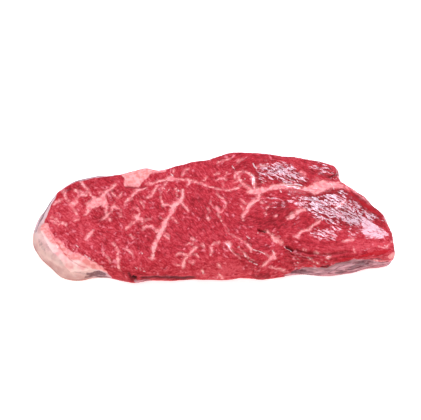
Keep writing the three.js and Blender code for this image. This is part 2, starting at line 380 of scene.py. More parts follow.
SEAMS = (
    Seam("thin seam", ((146.5, 183.5), (152.5, 182.9), (158.5, 181.5), (163.5, 180.5), (167, 179),
        (170.5, 178.1), (174.5, 178.9), (180.5, 179.5), (186.5, 179.8), (191.5, 180.5), (196.5, 181.9),
        (200.5, 182.7), (204.5, 184.5), (208.5, 186.1), (213.5, 187.8), (217.5, 189.1), (221.5, 189.8),
        (226.5, 190), (230.5, 189.5), (234.5, 188.5), (237.5, 187.5), (239.5, 185)), (1.6, 2.4, 2, 1.8, 3.2,
        4.6, 2.6, 1.2, 1.6, 1.4, 1.4, 1.6, 1.8, 2, 1.4, 1.5, 1.3, 1.2, 1.3, 1.5, 2.2, 1.6)),
    Seam("thin seam's knot", ((190, 180.8), (189, 183.5), (187.3, 186)), (3.2, 2.4, 0.8)),
    Seam("spur by the thin seam", ((166.5, 182.5), (164, 186), (162, 188.5)), (1.6, 1.4, 1.1)),
    Seam("loop", ((235, 176.5), (236.5, 173.8), (239.5, 172.1), (243.5, 171.7), (246.5, 172.5),
        (249.5, 174.5)), (2.6, 3.2, 2.6, 2, 2.2, 2)),
    Seam("loop's arm", ((237.5, 174.5), (239, 178.5), (241, 182), (244.5, 184.5), (248.5, 187),
        (251.5, 189.5)), (3, 2.4, 2.2, 2.2, 2.8, 4)),
    Seam("loop's side", ((233.5, 182.5), (237.5, 181)), (0.8, 1)),
    Seam("loop's far side", ((249, 173.5), (252, 176), (253.8, 180), (254.3, 184), (254, 187)),
        (2, 3, 3, 2.4, 2)),
    Seam("branch", ((258.5, 193.5), (258.8, 196.5), (257, 199.5), (254, 201.8), (251, 203.9), (248.8, 206.8),
        (247.5, 210), (244.8, 212.5), (243, 215.5), (242.5, 218.5), (243.1, 220.5)),
        (3, 2.4, 2.8, 3.4, 4.2, 4.2, 3.8, 2.8, 2.4, 2, 1)),
    Seam("diagonal", ((183, 190), (182.7, 192.5), (182.8, 196.5), (181.8, 199.8), (178, 202.1),
        (174.3, 205.1), (172.7, 208.8), (171, 212.5), (168.5, 216.5), (166.5, 219.8), (164.3, 224),
        (162.8, 228), (161.2, 231.5), (159.3, 235.1), (157.5, 239), (155.1, 243.3), (153.5, 247.5),
        (152.9, 252), (152.7, 255.5), (151.7, 259.2)), (1.6, 2.8, 2.4, 3, 4.4, 6, 5, 4.2, 3, 3.6, 5.4, 4.6,
        5.6, 4.4, 3, 3.8, 5.4, 2.8, 3.2, 2.4)),
    Seam("diagonal's foot", ((149, 259), (154, 258.8)), (1.2, 1.4)),
    Seam("diagonal's left arm", ((172.5, 207), (168.5, 204.8), (164, 204.8), (162.1, 202), (161.5, 198),
        (161.1, 192.5)), (2.6, 1.5, 2.6, 2.2, 1.2, 0.6)),
    Seam("diagonal's right arm", ((181.3, 201.3), (183.5, 204.5), (186, 207.5), (188, 210.5)),
        (1.6, 1.3, 1.8, 2.6)),
    Seam("stub", ((175.8, 188.8), (176.8, 191.5), (177.1, 195.5)), (1.2, 1.5, 0.9)),
    Seam("spur of the diagonal", ((161, 217.9), (163.5, 218.7), (166.5, 220)), (0.8, 1.2, 1.6)),
    Seam("beside the diagonal", ((172.8, 218), (175, 220), (177.5, 222.5)), (1, 1.5, 0.9)),
    Seam("hairs by the diagonal", ((164, 232), (168.5, 234.5)), (0.9, 1.1)),
    Seam("hairs below those", ((164, 235), (168, 238)), (1.6, 2.2)),
    Seam("lower arm", ((143.1, 229.5), (144.1, 226.5), (146.5, 225.9), (149.5, 226.8), (152.5, 225.7),
        (154.3, 227.8), (157, 231)), (1.2, 2.4, 2.2, 1.5, 2, 1.5, 2.6)),
    Seam("star, up", ((138.8, 215.8), (139.5, 212), (137.3, 209.1), (133.3, 206.9)), (1.8, 1.2, 1.5, 0.9)),
    Seam("star, right", ((142.5, 219.1), (146.5, 219.8), (151.5, 219.1)), (1.6, 0.9, 0.6)),
    Seam("star, down", ((137, 220), (132.5, 223.1), (129, 226.1), (125.8, 228.8)), (1.6, 1.4, 1.8, 1.8)),
    Seam("star, stub", ((141.8, 220.5), (142.5, 223.8)), (1.4, 1)),
    Seam("slanting, left", ((146.5, 187.3), (142.5, 189.5), (136.5, 190.8), (133.7, 194), (131.5, 197.1),
        (128.3, 199.2), (126, 202.1), (124.5, 205)), (1, 2, 3.8, 2.4, 1.8, 3, 1.4, 0.9)),
    Seam("slanting, right", ((157.1, 185.8), (155.1, 189.5), (153.1, 193), (151.1, 196.3), (147.5, 197.3)),
        (2.2, 2.6, 2, 2.6, 1.2)),
    Seam("short, middle", ((140, 200.1), (142, 203), (143.7, 206)), (0.8, 1.3, 1.7)),
    Seam("cross, upper left", ((80, 181.8), (82.5, 183.5), (84.5, 186.5), (87.5, 190), (90.5, 194),
        (93.5, 197.5)), (1.6, 2.4, 1.6, 2.2, 2.2, 3)),
    Seam("cross's foot, left", ((107, 215), (104.5, 217.5), (101.5, 219.5)), (2.4, 1.6, 1.2)),
    Seam("cross's foot, right", ((108, 216.5), (110.8, 220.2)), (1.8, 1.8)),
    Seam("cross's foot, up", ((108, 214), (111.5, 212.5), (113, 209.5)), (2, 1.5, 1)),
    Seam("small star's tail", ((120.5, 209.2), (121.1, 211.5)), (1.2, 0.9)),
    Seam("under the small star", ((120.5, 214), (120.9, 216)), (1.6, 1.5)),
    Seam("behind the small star", ((111.1, 191.8), (115, 195.5)), (0.9, 1.3)),
    Seam("right of the cross", ((117, 197.5), (119.5, 197), (122.1, 192.5)), (1.5, 1, 0.7)),
    Seam("behind the cross", ((99.5, 191.8), (101.5, 192.5)), (1.5, 1.5)),
    Seam("left, upper", ((61, 190.1), (63.1, 190.2), (64.5, 193.5), (65.5, 197.5), (68.5, 200.1)),
        (1.4, 1.8, 1.8, 2.4, 2.2)),
    Seam("left, outer", ((54, 204.1), (57.5, 201.5), (62, 199.5)), (1.6, 2.4, 1.6)),
    Seam("left, chain", ((70, 204.5), (73.5, 204.1), (76.8, 202), (77.1, 198.5), (79, 195.5), (81.5, 193.8),
        (86, 194.8), (89, 192.5)), (2.2, 3.4, 3, 1.4, 1.6, 2.6, 1.6, 1)),
    Seam("left, top", ((81, 191.1), (83.5, 193)), (1.4, 1.8)),
    Seam("left, top dot", ((74.5, 190.5), (76.5, 191.8)), (1.5, 1.2)),
    Seam("left, under the chain", ((72.3, 207.5), (75, 211), (77.5, 215)), (1, 1.6, 1.4)),
    Seam("left, by the cap", ((51.5, 216.8), (55, 219.3), (59.5, 221.8)), (1.6, 2, 1.2)),
    Seam("left, by the cap, lower", ((51, 220.2), (55.5, 223), (58.5, 224.5)), (0.7, 1.1, 0.7)),
    Seam("left, pale", ((62.5, 223.3), (65.5, 224.5)), (2.4, 2.8)),
    Seam("left, pale, middle", ((75, 220), (78.5, 219.3)), (2.2, 1.6)),
    Seam("left, under the cross", ((85.5, 214.3), (88, 211.5), (89.1, 208.5)), (2.6, 2.6, 2)),
    Seam("left, blob", ((85.8, 239), (88, 236), (91.5, 232.5), (93.5, 230.5)), (2.4, 3, 4.6, 1.4)),
    Seam("lower left, dot", ((113.1, 244.1), (114.5, 246)), (1.8, 1.5)),
    Seam("lower left", ((116, 248), (117.9, 250.5), (117.5, 255.5), (117.8, 259.5), (118.1, 263.5),
        (118.8, 267.5), (119.8, 270.5)), (2.6, 2, 1.5, 2.4, 3.2, 2, 1.2)),
    Seam("lower left, thin", ((103, 251.5), (106, 255), (109, 259), (110.1, 262.5)), (1.3, 1.7, 1.7, 1.1)),
    Seam("lower left, short", ((125.5, 248.5), (129, 250.8), (132, 253.1), (132.5, 256)), (1.6, 2.4, 2, 0.9)),
    Seam("lower left, upper", ((131, 234.5), (133.5, 238)), (1.3, 2)),
    Seam("front, long", ((175.5, 255.8), (177.8, 253.5), (181.5, 253), (185, 254.5), (187.5, 256.1),
        (190.1, 254.5), (191.1, 251.5), (193.8, 249.8), (196.1, 248)),
        (1, 1.8, 1.5, 2, 2.2, 1.8, 1.4, 2.4, 2.8)),
    Seam("front, down", ((186.5, 257.8), (184.2, 260.5), (183.3, 264.5), (182.7, 269)), (1.8, 2.4, 2.6, 1.8)),
    Seam("front, left", ((174, 264.5), (179.5, 265.8)), (1.1, 1.4)),
    Seam("front, right", ((190, 260.9), (194, 262.5)), (1.1, 1.7)),
    Seam("front, right dot", ((196.1, 254.1), (198.5, 257.1)), (1.6, 1.3)),
    Seam("middle, lower", ((186, 244.1), (189.5, 243.1), (193, 243.7)), (1.1, 1.5, 1.2)),
    Seam("middle, lower dot", ((191.5, 238.5), (194, 239.8)), (1.7, 1.5)),
    Seam("hook", ((216.5, 193.5), (219.5, 197), (223, 199.5), (225.8, 203.1), (225.1, 206.5), (223.3, 209.5),
        (220.5, 212.1)), (0.4, 0.7, 1, 1.5, 1.5, 1.1, 1)),
    Seam("hook's pair", ((210.3, 200.1), (211.3, 204), (213.1, 207.1), (215.8, 209.5)), (0.6, 0.7, 0.5, 0.3)),
    Seam("hook's foot", ((216, 207), (219, 211), (218.3, 214), (220.5, 218.5), (223.5, 223.5), (228, 229.5)),
        (0.7, 1.6, 1.1, 0.4, 0.5, 0.3)),
    Seam("left of the hook", ((207.1, 216.1), (208.5, 219)), (2.2, 2.5)),
    Seam("left of the hook, upper", ((207.5, 208.5), (209.1, 211.1)), (1.1, 1.3)),
    Seam("upper, before the patch", ((214, 175), (218.5, 173.7)), (1, 1.2)),
    Seam("upper, behind the patch", ((225.5, 175), (227, 172.5)), (1.5, 1.2)),
    Seam("upper, left", ((204.5, 180.5), (206.8, 178.1)), (1.2, 1.4)),
    Seam("upper, pale patch", ((216, 180.8), (219.5, 178.3), (223, 177.5), (225.5, 180)), (0.7, 1.8, 1.6, 1)),
    Seam("upper, under the patch", ((222.5, 183.3), (223.5, 186.5)), (0.8, 0.7)),
    Seam("upper, pale", ((216.5, 162.8), (220.5, 161.3), (224.5, 160.1), (230, 158.5)), (0.9, 1.2, 1.5, 1)),
    Seam("upper, middle", ((237, 161.3), (243, 159.1)), (1.1, 1.2)),
    Seam("upper, right", ((256.8, 166.8), (262.5, 165.7), (267.8, 164.5)), (1.2, 1.5, 1.2)),
    Seam("upper, far left", ((182.8, 174.8), (185.1, 171.5), (184.9, 169.5), (189, 168.5)),
        (1, 1.4, 1.4, 1.2)),
    Seam("upper, farthest left", ((174.5, 169.1), (173.5, 173.5)), (1.2, 1.2)),
    Seam("by the branch", ((239.8, 198.5), (242.5, 200.5), (245.5, 203.1)), (1, 1.4, 1.2)),
    Seam("by the branch, lower", ((240.5, 205.8), (243.5, 209)), (1.1, 1.6)),
    Seam("over the tears", ((225.5, 230), (229.5, 233.5), (233.5, 235.5), (240, 239.1), (244.5, 242.3),
        (248.1, 245.5), (250.8, 249.1), (251.1, 252)), (0.3, 0.5, 0.5, 0.8, 1.3, 2.4, 2.4, 1.2)),
    Seam("left of the tears", ((226.5, 242.8), (229.1, 244.1), (229.8, 247.5), (232, 251), (235.5, 255),
        (239.5, 257.5)), (3, 4.2, 2.6, 1.3, 1.1, 0.8)),
    Seam("between the tears", ((238.5, 247.5), (242, 251), (245.5, 255), (248.5, 259)), (0.4, 0.8, 0.9, 0.7)),
    Seam("middle, front", ((219, 241.8), (214.5, 243.5), (210.8, 246), (211.8, 250.5), (210.5, 255)),
        (2.6, 1.8, 2, 2.2, 1.4)),
    Seam("middle, front dot", ((202, 244), (204.8, 247)), (2, 1.6)),
    Seam("front edge, left dot", ((201.5, 271), (204.1, 273.5)), (1.6, 2)),
    Seam("front edge, right dot", ((219.1, 275.5), (222.5, 277.5)), (2.4, 2.8)),
    Seam("front, upper dot", ((217.5, 263.5), (219.5, 266.5)), (2.2, 1.4)),
    Seam("by the crevice", ((263.5, 231.8), (267, 230.5), (270.5, 233.5), (273, 237)), (1, 2.4, 1.4, 2)),
    Seam("right, front spur", ((264.5, 252.8), (269, 256.5)), (0.9, 1.3)),
    Seam("right, below the front", ((270.5, 267.1), (274.5, 269), (279.5, 269), (284.5, 270.5)),
        (1.8, 1.2, 1, 2.2)),
    Seam("right, under the gloss", ((287.5, 218.8), (291.5, 216.3), (295.1, 213.5), (299.5, 210.5),
        (304.5, 209.5)), (3, 4, 3, 3.6, 3)),
    Seam("right, long", ((294, 236.1), (298.5, 235.5), (301.5, 232.1), (305.5, 230.1), (310.5, 228.3),
        (314.5, 224.5), (318.5, 221.5), (321, 219.5)), (1.8, 3.6, 2.6, 2.2, 2.6, 2.4, 3.2, 2)),
    Seam("right, long spur", ((297.5, 236.5), (299, 238.8)), (2, 1)),
    Seam("right, in the gloss", ((336.5, 207.5), (339.5, 205.5), (343.1, 202.8), (345.5, 200.5)),
        (1.2, 2.4, 1.8, 1.3)),
    Seam("right, lower", ((343, 241.8), (345.5, 240.8), (350, 239.9), (354, 239.5)), (1.2, 2.4, 2.8, 1.4)),
    Seam("under the tip", ((374.5, 260), (380.5, 261.2), (386.5, 261.9), (393.5, 261.9)),
        (0.9, 1.3, 1.8, 2.2)),
    Seam("near the tip", ((379.1, 246), (384.5, 247.8), (388.5, 245), (392.1, 242.1)), (1.1, 1.5, 1.3, 1)),
    Seam("front right, dot", ((303.5, 249.5), (306, 250.1)), (1.8, 1.5)),
    Seam("front right, by the fold", ((327.5, 257.5), (330.5, 255.5)), (2.4, 1.7)),
    Seam("front right, streak", ((314.5, 252.5), (318.1, 253.1)), (0.9, 1.1)),
    Seam("front right, lower streak", ((308, 257.8), (313.5, 262), (318.1, 263.1)), (1.2, 1, 1.5)),
    Seam("front right, upright", ((353.1, 246.5), (354.8, 252.5)), (0.9, 1.1)),
    Seam("deep red, dot", ((264.5, 213.1), (266.5, 214.1)), (1.8, 1.5)),
    Seam("deep red, second dot", ((274.5, 216.5), (276.5, 214.8)), (1.4, 1.3)),
    Seam("deep red, upper dot", ((266.5, 207.8), (268.1, 207.1)), (1.6, 1.1)),
    Seam("deep red, streak", ((261, 202.1), (263.5, 202.8)), (1.3, 1.1)),
    Seam("edge of the right rim", ((346, 185.5), (352, 188.8), (358, 193.5), (364, 198.7), (371, 204.5)),
        (1.4, 1, 0.6, 0.4, 0.2)),
    Seam("upper end, patch", ((302, 172), (305, 174)), (2.6, 2.6)),
    Seam("upper end, dot", ((315, 178.8), (318.5, 179.1)), (1.5, 1.3)),
)

SEAM_PATCHES = (
    Patch("crossing of the seams", ((246.5, 192.3), (249.5, 190.5), (252.5, 188.8), (255.5, 188),
        (260.5, 187.1), (266.5, 187.1), (271.5, 184.8), (278.5, 184.3), (284.5, 183.5), (288.5, 185.3),
        (296.5, 186.5), (301.5, 187.8), (305.5, 186.5), (310.5, 185.5), (313, 182.5), (316.5, 181.3),
        (322.5, 180.8), (330.5, 181.1), (338.5, 181.7), (343.5, 185), (349.5, 188.5), (349.5, 190.5),
        (343.5, 188.1), (338.5, 187.5), (332.5, 187.8), (328.5, 189.1), (324.5, 191), (320.5, 193.5),
        (314.5, 194), (309.5, 192), (303.5, 190.3), (296.5, 189.1), (288.5, 188.8), (280.5, 189.1),
        (272.5, 189.5), (267.5, 190.8), (263.5, 192.5), (260, 193.9), (257.5, 194.3), (252.5, 193.5),
        (248.5, 193.7))),
    Patch("middle of the cross", ((113.5, 183.8), (115.5, 184.1), (114.7, 187), (112, 189.5), (109.1, 191.1),
        (108, 192.8), (106.5, 195.1), (105.5, 197.1), (106.1, 199.5), (107.1, 202), (108.5, 206),
        (108.1, 209.5), (108.1, 212.5), (109.1, 215.5), (106.5, 217.5), (105.1, 215.5), (105.5, 212),
        (104.5, 208), (102.5, 205.5), (101.5, 203.7), (99.9, 205.5), (97.5, 207.1), (94.5, 208.1),
        (92.1, 208.9), (90.1, 210.5), (88, 210.1), (86.8, 206.8), (86.3, 203.5), (87.9, 202), (90.1, 201.3),
        (91.5, 199.3), (91.9, 196.9), (94.5, 195.5), (97, 196.8), (99.1, 196.9), (100.8, 195.3), (103, 193.3),
        (105.1, 190.9), (107.1, 189.9), (109.1, 187.9), (111.1, 186.1))),
    Patch("small star", ((114.3, 202.8), (115.8, 204.8), (117.8, 206.9), (121, 209.3), (117, 208.8),
        (114, 208.4), (111.3, 208.8), (112.8, 205.8))),
    Patch("middle of the star", ((132.3, 216.5), (134.5, 214.9), (137.5, 214.5), (139.1, 216.1), (140, 217.8),
        (143.8, 218.9), (141.5, 220.7), (137.3, 220.5), (134.5, 219.1))),
    Patch("right, blob", ((271.5, 236.5), (278.5, 237.1), (279.8, 240.1), (283.5, 242), (281.5, 244.5),
        (278.5, 243.8), (275, 241.8), (272.5, 239.5))),
    Patch("right, front", ((272.5, 250.5), (275.5, 253.3), (275.1, 256.5), (276.5, 258.5), (272.5, 260),
        (269, 262), (266.1, 266.1), (261.1, 268), (264.5, 263.1), (268.8, 259.5), (268.5, 256.5),
        (271.8, 254.5))),
)

FAT_PATCHES = (
    Patch("fat cap", ((44.5, 222.8), (47.8, 223.5), (49.5, 228.5), (51.5, 232), (54, 236), (56.5, 238.5),
        (60.5, 240), (64, 244), (67.5, 249), (72.5, 252.1), (80.5, 253.8), (85.5, 256.5), (90.5, 259.8),
        (95.5, 262.5), (99.5, 264), (103, 267), (105.5, 270.5), (108.5, 274.5), (108.5, 290.5), (60.5, 290.5),
        (20.5, 255.5), (30.5, 225.5))),
    Patch("wedge at the back", ((121.5, 176.5), (123.9, 178.1), (123.9, 181.5), (124.3, 185.5),
        (128.5, 185.9), (133.5, 186.5), (138.5, 185.9), (141.8, 183.5), (143, 181), (146, 179.1),
        (148.5, 176.5), (151, 174.1), (154.5, 172.7), (160.5, 172.1), (166.5, 171.1), (166.5, 160.5),
        (140.5, 155.5), (118.5, 165.5)), 3.0),
    Patch("fat at the tip", ((387.1, 257), (389.5, 254), (392.5, 252.1), (400.5, 250.5), (400.5, 259.5),
        (390.5, 259.1)), 3.0),
)

SKIN_PATCHES = (
    Patch("rind beside the cap", ((44.5, 222.5), (42, 225), (41, 229.5), (42.5, 234.5), (44.5, 239),
        (47.5, 244), (49.5, 248), (53.5, 252.5), (58.5, 257), (61.5, 260.5), (64.5, 265.5), (67.5, 269.5),
        (70, 272.5), (69.5, 290.5), (20.5, 290.5), (20.5, 221.5))),
    Patch("rind in front of the cap", ((74.5, 271.3), (80.5, 271.5), (86.5, 271), (88.5, 269.5),
        (93.5, 269.5), (99.5, 270), (103.5, 271.5), (107.5, 274.1), (112.5, 277), (112.5, 300.5),
        (68.5, 300.5), (69.5, 273.5))),
    Patch("skin under the front edge", ((134.5, 281.7), (136.5, 280.5), (141.5, 280.1), (149.5, 279.7),
        (154, 280.5), (149, 283), (141, 284), (136, 283.5))),
    Patch("membrane at the front right", ((289.5, 273.5), (293.5, 271), (300.5, 268.8), (310.5, 268.5),
        (320.5, 268.8), (328.5, 268.5), (331.5, 266.5), (335.5, 264.5), (341.5, 263), (348.5, 262),
        (354.5, 260.5), (360.5, 259.8), (366.5, 259.5), (373.5, 260.9), (380.5, 262.2), (386.5, 262.9),
        (392.5, 263.1), (400.5, 263.1), (400.5, 290.5), (300.5, 290.5), (290.5, 279.5), (283.5, 275.5))),
)

SILVERSKIN = (
    Patch("silverskin at the left", ((62.5, 186.5), (58, 191), (56.5, 196), (54.8, 200.1), (51.5, 203.5),
        (49.8, 209.1), (47.5, 214.1), (45.8, 217.5), (44.5, 221), (44.1, 223), (41.1, 224.5), (35.5, 232.5),
        (20.5, 240.5), (20.5, 200.5), (50.5, 178.5))),
    Seam("silverskin at the back", ((60.5, 188.5), (68.5, 184), (77.5, 180.8), (88.5, 178.5), (100.5, 176.5),
        (112.5, 175), (124.5, 172)), (2.4, 1.4, 1.2, 1.2, 1, 0.8, 0.4)),
)

# Dark veins and dried edges of the skin, and painted shade low at the front of the rind.
VEINS_AND_SHADE = (
    Seam("dark purple in the membrane", ((349, 267.3), (355.5, 265.3), (361.5, 264.3), (368.5, 262.9)),
        (0.8, 3.4, 4.2, 1)),
    Seam("black end of the membrane", ((291.5, 272.3), (298.5, 271.1), (305.5, 271.7), (313.5, 272.3)),
        (2, 3.6, 3.2, 0.8)),
    Seam("low in the membrane", ((314.5, 273.3), (322.5, 272.9), (330.5, 272)), (0.8, 1.5, 0.8)),
    Seam("foot of the membrane", ((335.5, 273.3), (341.5, 273.1), (346.5, 271.5)), (1.6, 2.8, 1.6)),
    Seam("long in the membrane", ((345.5, 270.1), (353.5, 268.3), (362.5, 266.8), (372.5, 264.5)),
        (1.2, 2, 1.6, 0.8)),
    Seam("slanting in the membrane", ((333.5, 270.1), (338.5, 267), (344.5, 264.9)), (0.7, 1.2, 0.7)),
    Seam("second slanting in the membrane", ((328.5, 273.5), (333.5, 270.5), (337.5, 268.1)),
        (0.7, 1.2, 0.6)),
    Seam("thin in the membrane", ((372.5, 262.3), (380.5, 263.3), (388.5, 261.9)), (0.7, 1, 1)),
    Seam("edge of the membrane", ((366.5, 259.8), (373.5, 259.3), (377.5, 258.8), (381.5, 259.5)),
        (0.6, 1, 1.5, 0.8)),
    # Purple-grey low at the front of the rind: painted shade, partly the skin's own purple-grey.
    Seam("purple end of the rind", ((86.5, 273.5), (92.5, 274.5), (98.5, 273.1), (104.5, 275.1)),
        (2, 4.6, 4.6, 2.4)),
    Seam("low in the rind's purple end", ((84.5, 277.1), (92.5, 276.3), (104.5, 276.7), (110.5, 277.5)),
        (1.2, 1.6, 1.8, 1.2)),
    Seam("outside of the silverskin", ((60.4, 188.2), (57.1, 190.8), (52.8, 196.3), (48.9, 204.3),
        (43.8, 212.4), (40.5, 218.7), (38.5, 224.3), (35.8, 232)), (1.0, 1.2, 1.3, 1.3, 1.3, 1.3, 1.2, 0.7)),
    Seam("dried edge at the back", ((60, 188), (70, 182.8), (80, 179.8), (92, 177.2), (104, 175.2),
        (116, 173.8), (124, 171.8)), (1, 1.2, 1.1, 0.9, 0.9, 0.7, 0.3)),
    Seam("streak in the membrane", ((352, 263.5), (360, 262.3), (370, 261.2)), (0.4, 1.1, 0.4)),
    Seam("low streak in the membrane", ((322, 271), (331, 270.3), (339, 270.8), (347, 272)),
        (0.4, 1.2, 1, 0.4)),
    Seam("second low streak in the membrane", ((300, 274), (310, 274.5), (320, 275)), (0.8, 1.4, 0.6)),
    Seam("short in the membrane", ((371, 266.8), (378, 265.3), (384, 264.9)), (0.4, 1.1, 0.4)),
    Seam("blotch on the silverskin", ((43.3, 214.5), (41.5, 217.8), (40.5, 221)), (0.6, 2.2, 1.2)),
)

SMUDGES = (
    Seam("spot in the rind", ((72.5, 272), (74.5, 274.5)), (0.6, 0.8)),
    Seam("foot of the rind", ((64.5, 277.8), (69.5, 279.5), (77.5, 279.3), (85.5, 278.1)),
        (1.2, 1.4, 1.2, 1)),
    Seam("side of the rind", ((52.5, 267), (55.5, 270.1)), (0.6, 0.8)),
    Seam("cheek of the rind", ((38.5, 238.5), (40.5, 244), (44.5, 250)), (2, 4, 2)),
    Seam("outside of the rind", ((37, 226.5), (34, 231.5), (32.5, 236.5), (32.3, 241.5)), (1, 1.6, 1.4, 0.6)),
    Seam("outside of the rind, lower", ((33.5, 247.5), (38.5, 256.5), (46.5, 266.5), (54.5, 274.5),
        (62.5, 279.1)), (0.6, 1, 0.8, 1, 1)),
    Seam("brown in front of the rind", ((75, 272), (82.5, 273.5), (89, 274.5)), (1, 2.6, 2)),
)

SCARLETS = (
    Seam("right rim", ((344.5, 187.7), (349.5, 191.3), (354.5, 195.3), (360.5, 200.3), (366.5, 205),
        (372.5, 209.5), (378.5, 214), (381.5, 216)), (1, 1.6, 2.4, 3, 3.4, 2.8, 1.6, 1)),
    Seam("over the membrane", ((358.5, 257), (364.5, 255.8), (371.5, 253.9), (378.5, 252.9), (384.5, 251.8),
        (388.5, 250.5)), (1.2, 2.4, 3.4, 4.6, 3.4, 1.4)),
    Seam("over the membrane, left", ((336.5, 261.5), (345.5, 259.1), (356.5, 258.1)), (1, 2, 1.6)),
    Seam("over the membrane, low", ((300.5, 267.5), (310.5, 265.8), (319.5, 266.1)), (1.2, 2.2, 1.6)),
    Seam("by the silverskin", ((60.1, 192.1), (59.1, 196), (57.1, 199.3)), (1.8, 2.6, 1.2)),
    Seam("line in the fat cap", ((46, 230.5), (50, 232.5), (53.5, 236.7), (55.5, 240.5), (58.5, 245),
        (62.5, 250.3), (66.5, 255.4), (70.5, 259.5), (74.5, 262.5), (80.5, 266), (87, 268), (93, 268.7)),
        (0.3, 0.6, 0.9, 1.1, 1.2, 1.1, 1.1, 1.2, 1, 0.8, 0.5, 0.2)),
    Seam("second line in the fat cap", ((68, 254.5), (72, 257.8), (77, 261)), (0.2, 0.7, 0.2)),
)

BLUSHES = (
    Seam("rim of the wedge", ((124, 173), (130, 170), (137, 167.3), (143.5, 166.5), (150, 170), (158, 171.5)),
        (1.4, 2, 2.2, 1.6, 1.2, 1)),
    Seam("in the wedge", ((128, 176.5), (132.5, 174.5), (136, 175.5), (140.5, 173)), (1, 2.4, 1.4, 0.8)),
    Seam("low in the wedge", ((131, 179), (137, 178), (142, 176)), (0.6, 1.8, 1)),
    Seam("strip of the cap, upper", ((57, 240), (62, 244), (65.5, 249)), (1, 2.4, 1.2)),
    Seam("strip of the cap, middle", ((66, 248.5), (71, 253.5), (76, 256.5)), (1, 2, 1)),
    Seam("strip of the cap, lower", ((78, 256), (85, 260), (92, 263)), (0.8, 2, 1)),
    Seam("strip of the cap, low", ((82, 262), (89, 265.5), (96, 267)), (0.8, 1.6, 1)),
    Seam("tip of the cap", ((46.5, 226), (49.5, 231.5)), (0.6, 1.4)),
)

# Painted glints: short white lines and specks that stand in for the lamps' highlights on wet tears, edges and
# the thick seam.
PAINTED_GLINTS = (
    ((285, 184.8), (290, 184.4), (295, 185), (301, 185.6)),
    ((287, 186.5), (293, 186.7), (299, 187.3)),
    ((330.5, 183), (333, 186), (334, 189)),
    ((84.8, 254.5), (87, 256.8)), ((88.8, 257.5), (91.1, 259.1)), ((92.5, 259.8), (93.3, 260.5)),
    ((76.5, 245.1), (78.1, 247.3)), ((72.7, 248.1), (73.3, 249.9)), ((56.5, 245.3), (58.1, 247.9)),
    ((170.8, 174), (172.7, 176)), ((166.5, 191), (167.1, 191.8)), ((168.5, 189.5), (169, 190)),
    ((164.1, 188.1), (164.5, 188.7)), ((178, 190.1), (179, 191)), ((141.8, 253), (142.1, 254)),
    ((143.5, 271.1), (144.9, 271.4)), ((260.1, 232.1), (262.1, 231.7)), ((257.3, 233.5), (257.7, 233.9)),
    ((246.1, 236.5), (249.3, 239)), ((252.4, 249.2), (256, 250.4), (260, 251.4), (264.3, 253.6)),
    ((244, 254.6), (246.2, 257.2)), ((249.3, 260.8), (252.3, 261.9)), ((254.3, 263), (257.2, 264.3)),
    ((272.1, 250.5), (274.1, 253.1)), ((274.5, 255.9), (275.5, 256.9)),
    ((284.1, 246.5), (287.5, 249.3), (291.7, 251.5)), ((238.7, 246), (239.5, 246.8)),
    ((251, 174), (253.5, 177.5), (254.8, 182)), ((252.3, 178), (253, 183.5)),
    ((244.9, 179.1), (245.3, 179.5)), ((231.9, 165.8), (235.1, 169.1)), ((279.9, 191.1), (281.7, 192.1)),
    ((202.3, 271.5), (203.5, 273.5)), ((221.1, 276.9), (221.5, 277.5)), ((384.5, 244.8), (385.1, 245.3)),
    ((267.3, 207.1), (267.9, 207.3)), ((230, 248.5), (232.5, 251.8)),
    ((252.9, 162.9), (254.3, 165.9), (256.5, 168.5)), ((328, 256.1), (329.1, 255.5)),
    ((309, 258.5), (310, 259.1)), ((317.1, 262.5), (317.5, 263.3)), ((297.3, 262.5), (298.1, 262.9)),
    ((129.1, 251.5), (129.7, 252.1)), ((134.5, 267.3), (137.5, 269)), ((139.9, 267.9), (141.1, 270.1)),
)
